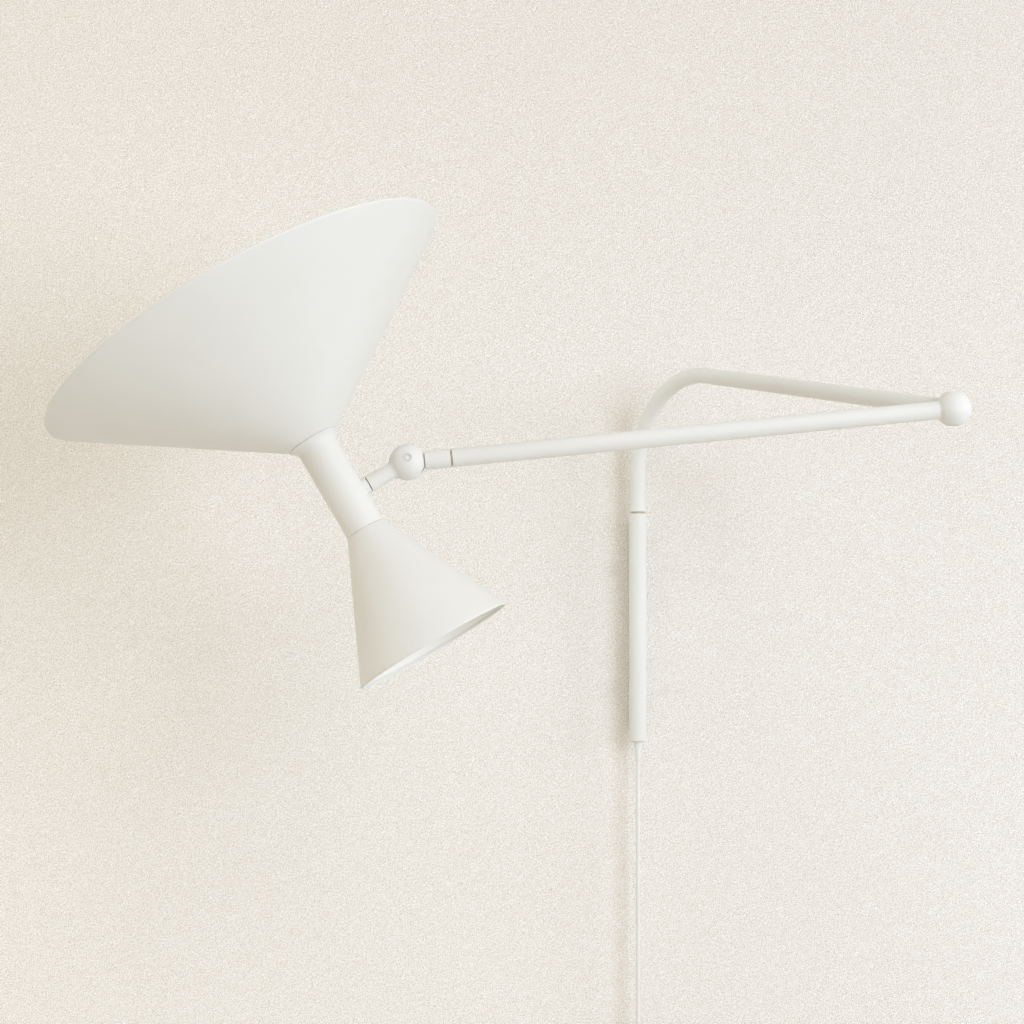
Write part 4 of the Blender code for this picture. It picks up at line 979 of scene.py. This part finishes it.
def plug_body():
    """A collar round the cord that swells into a flat body with a ribbed grip."""

    def section(z, half_x, half_y, corner):
        return [(PLUG_X + a, b, z) for a, b in rounded_box(half_x, half_y, corner, 8)]

    collar_z, neck_x, neck_y = PLUG_TOP - 0.6, 7.5, 5.2
    wide_x, wide_y, face_edge = 12.9, 6.45, 1.0
    rings = [section(PLUG_TOP - 0.2, 2.2, 2.2, 2.19), section(collar_z, COLLAR_HALF, COLLAR_HALF, 2.59)]
    steps = 12
    for i in range(1, steps + 1):
        share = i / steps
        ease = share * share * (3 - 2 * share)
        half_x = COLLAR_HALF + (neck_x - COLLAR_HALF) * ease
        half_y = COLLAR_HALF + (neck_y - COLLAR_HALF) * ease
        rings.append(section(collar_z - COLLAR_LENGTH * share, half_x, half_y, 2.59 + 0.9 * share))
    body_top, face_top, steps = collar_z - COLLAR_LENGTH, PLUG_FACE + face_edge, 60
    for i in range(1, steps + 1):
        share = i / steps
        widen = min(1.0, share / 0.42)
        swell = math.sin(math.pi / 2 * widen)
        half_x = neck_x + (wide_x - neck_x) * swell
        half_y = neck_y + (wide_y - neck_y) * swell
        if GRIP_FROM < share < GRIP_TO:
            half_y -= RIB_DEEP * (0.5 - 0.5 * math.cos(2 * math.pi * (share - GRIP_FROM) / RIB_SPACING))
        rings.append(section(body_top - (body_top - face_top) * share, half_x, half_y, 3.6 + 0.8 * widen))
    steps = 6
    for i in range(1, steps + 1):
        angle = math.radians(90 * i / steps)
        inset = face_edge * (1 - math.cos(angle))
        z = face_top - face_edge * math.sin(angle)
        rings.append(section(z, wide_x - inset, wide_y - inset, 4.4 - inset))
    return loft("plug", rings, POST, sharp=50)


def plug():
    """A flat two-pin plug, its pins and their sleeves."""
    body, holes, pins = plug_body(), [], []
    root, core, sleeve_top = PLUG_FACE + 7.5, PLUG_PIN_R - 0.35, PLUG_FACE + 7
    for side, x in (("left", PLUG_X - PIN_PITCH / 2), ("right", PLUG_X + PIN_PITCH / 2)):
        at = (x, 0)
        holes.append(rod("hole", PLUG_PIN_R + GAP, PLUG_FACE - 1, PLUG_FACE + 8, POST, "Z", 40, at))
        corners = [(0, PIN_TIP), (PLUG_PIN_R, PIN_TIP, 1.4), (PLUG_PIN_R, SLEEVE_END - 0.1, THIN_EDGE)]
        corners += [(core, SLEEVE_END - 0.1), (core, root), (0, root)]
        pin = lathe("pin", rounded(corners), POST, "Z", HOLE_SIDES, at)
        pins.append(dress(pin, f"plug_pin_{side}"))
        inside = core + 0.05
        corners = [(inside, SLEEVE_END), (PLUG_PIN_R, SLEEVE_END, THIN_EDGE)]
        corners += [(PLUG_PIN_R, sleeve_top), (inside, sleeve_top)]
        sleeve = lathe(f"plug_sleeve_{side}", rounded(corners), POST, "Z", HOLE_SIDES, at)
        sleeve.data.materials.append(SLEEVE)
        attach(sleeve, "wall_mount")
        pins.append(sleeve)
    return [dress(carve(body, holes), "plug_body")] + pins


# ---- stage


def plaster(name):
    """Cream plaster with a fine slanted stipple, paler towards the floor and to the left. The darkening towards
    the top and the right is painted shade, and the stipple paints shade into its grain's hollows and light onto
    its rises.
    """
    nodes = Nodes(name)
    nodes.shader.inputs["Roughness"].default_value = 0.9
    nodes.shader.inputs["Specular IOR Level"].default_value = 0.2
    place = nodes.tree.nodes.new("ShaderNodeSeparateXYZ")
    nodes.link(nodes.place, place.inputs["Vector"])
    # Painted shade: the colour darkens from the floor towards the top
    height_shade = nodes.spread(place.outputs["Z"], 0, 1, (WALL_LOW, WALL_HIGH))
    ramp = nodes.colour(height_shade, WALL_PALE, WALL_SHADED_TOP, ends=(0, 1))
    grain = nodes.noise(STIPPLE_SCALE, 2, (1.0, 1.0, STIPPLE_STRETCH), STIPPLE_SLANT, 0.4)
    nodes.bump(grain, STIPPLE_DEEP)
    # Painted shade and light: darker where the bump's grain sinks, paler where it rises
    low, high = NOISE_MIDDLE
    gains = [2 * tone / (high - low) for tone in STIPPLE_SHADE]
    grain_shade = nodes.tree.nodes.new("ShaderNodeVectorMath")
    grain_shade.operation = "MULTIPLY_ADD"
    nodes.link(grain, grain_shade.inputs[0])
    grain_shade.inputs[1].default_value = gains
    grain_shade.inputs[2].default_value = [1 - gain * (low + high) / 2 for gain in gains]
    grain_shaded = nodes.tree.nodes.new("ShaderNodeVectorMath")
    grain_shaded.operation = "MULTIPLY"
    nodes.link(ramp.outputs["Color"], grain_shaded.inputs[0])
    nodes.link(grain_shade.outputs["Vector"], grain_shaded.inputs[1])
    # Painted shade: the colour darkens towards the right
    across = nodes.spread(place.outputs["X"], *WALL_SIDE_SHADE, (WALL_LEFT, WALL_RIGHT))
    side_shaded = nodes.tree.nodes.new("ShaderNodeVectorMath")
    side_shaded.operation = "SCALE"
    nodes.link(grain_shaded.outputs["Vector"], side_shaded.inputs[0])
    nodes.link(across, side_shaded.inputs["Scale"])
    nodes.link(side_shaded.outputs["Vector"], nodes.shader.inputs["Base Color"])
    return nodes


def sheet(name, width, depth, place):
    """A flat sheet of the stage, clear when seen from behind."""
    bm = bmesh.new()
    bmesh.ops.create_grid(bm, x_segments=1, y_segments=1, size=0.5)
    mesh = bpy.data.meshes.new(name)
    bm.to_mesh(mesh)
    bm.free()
    mesh.transform(place @ Matrix.Diagonal((width, depth, 1, 1)))
    obj = bpy.data.objects.new(name, mesh)
    bpy.context.scene.collection.objects.link(obj)
    nodes = plaster(name)
    tree = nodes.tree
    clear = tree.nodes.new("ShaderNodeBsdfTransparent")
    behind = tree.nodes.new("ShaderNodeNewGeometry").outputs["Backfacing"]
    mix = tree.nodes.new("ShaderNodeMixShader")
    nodes.link(behind, mix.inputs["Fac"])
    nodes.link(nodes.shader.outputs["BSDF"], mix.inputs[1])
    nodes.link(clear.outputs["BSDF"], mix.inputs[2])
    nodes.link(mix.outputs["Shader"], tree.nodes["Material Output"].inputs["Surface"])
    mesh.materials.append(nodes.material)


def backdrop():
    """A plain plaster wall behind the lamp, and a pale floor below it."""
    upright = Matrix.Rotation(math.pi / 2, 4, "X")
    wall_at = Matrix.Translation((0, WALL_BEHIND, WALL_MIDDLE))
    sheet("plaster_wall", WALL_WIDTH, WALL_HEIGHT, wall_at @ upright)
    sheet("pale_floor", FLOOR_SIDE, FLOOR_SIDE, Matrix.Translation((0, 0, FLOOR_Z)))


def lights():
    """A large soft key from the right, weak lights round it, and an even warm surround."""
    for name, right, up, size, power, colour in LIGHTS:
        data = bpy.data.lights.new(name, "AREA")
        data.shape = "DISK"
        data.size = size
        data.energy = power
        data.color = colour
        turn, rise = math.radians(right), math.radians(up)
        flat = math.cos(rise)
        way = Vector((flat * math.sin(turn), -flat * math.cos(turn), math.sin(rise)))
        lamp = bpy.data.objects.new(name, data)
        lamp.location = LIGHT_AIM + way * LIGHT_DISTANCE
        lamp.rotation_euler = way.to_track_quat("Z", "Y").to_euler()
        bpy.context.scene.collection.objects.link(lamp)
    world = bpy.data.worlds.new("studio")
    world.use_nodes = True
    background = world.node_tree.nodes["Background"]
    background.inputs["Color"].default_value = (*AMBIENT, 1)
    background.inputs["Strength"].default_value = AMBIENT_STRENGTH
    bpy.context.scene.world = world
    bpy.context.scene.view_settings.view_transform = "Standard"


# ---- build

relief_piece = strain_relief()
supply_cord(relief_piece)
wall_plate()
wall_tube()
tube_fittings()
back_arm()
elbow_tongue()
front_arm()
roll_bush()
ferrule()
wrist()
head()
for node, obj in frame["nodes"].items():
    obj.data.materials.clear()
    obj.data.materials.append(MATERIALS[SLOT[node]])
backdrop()
lights()
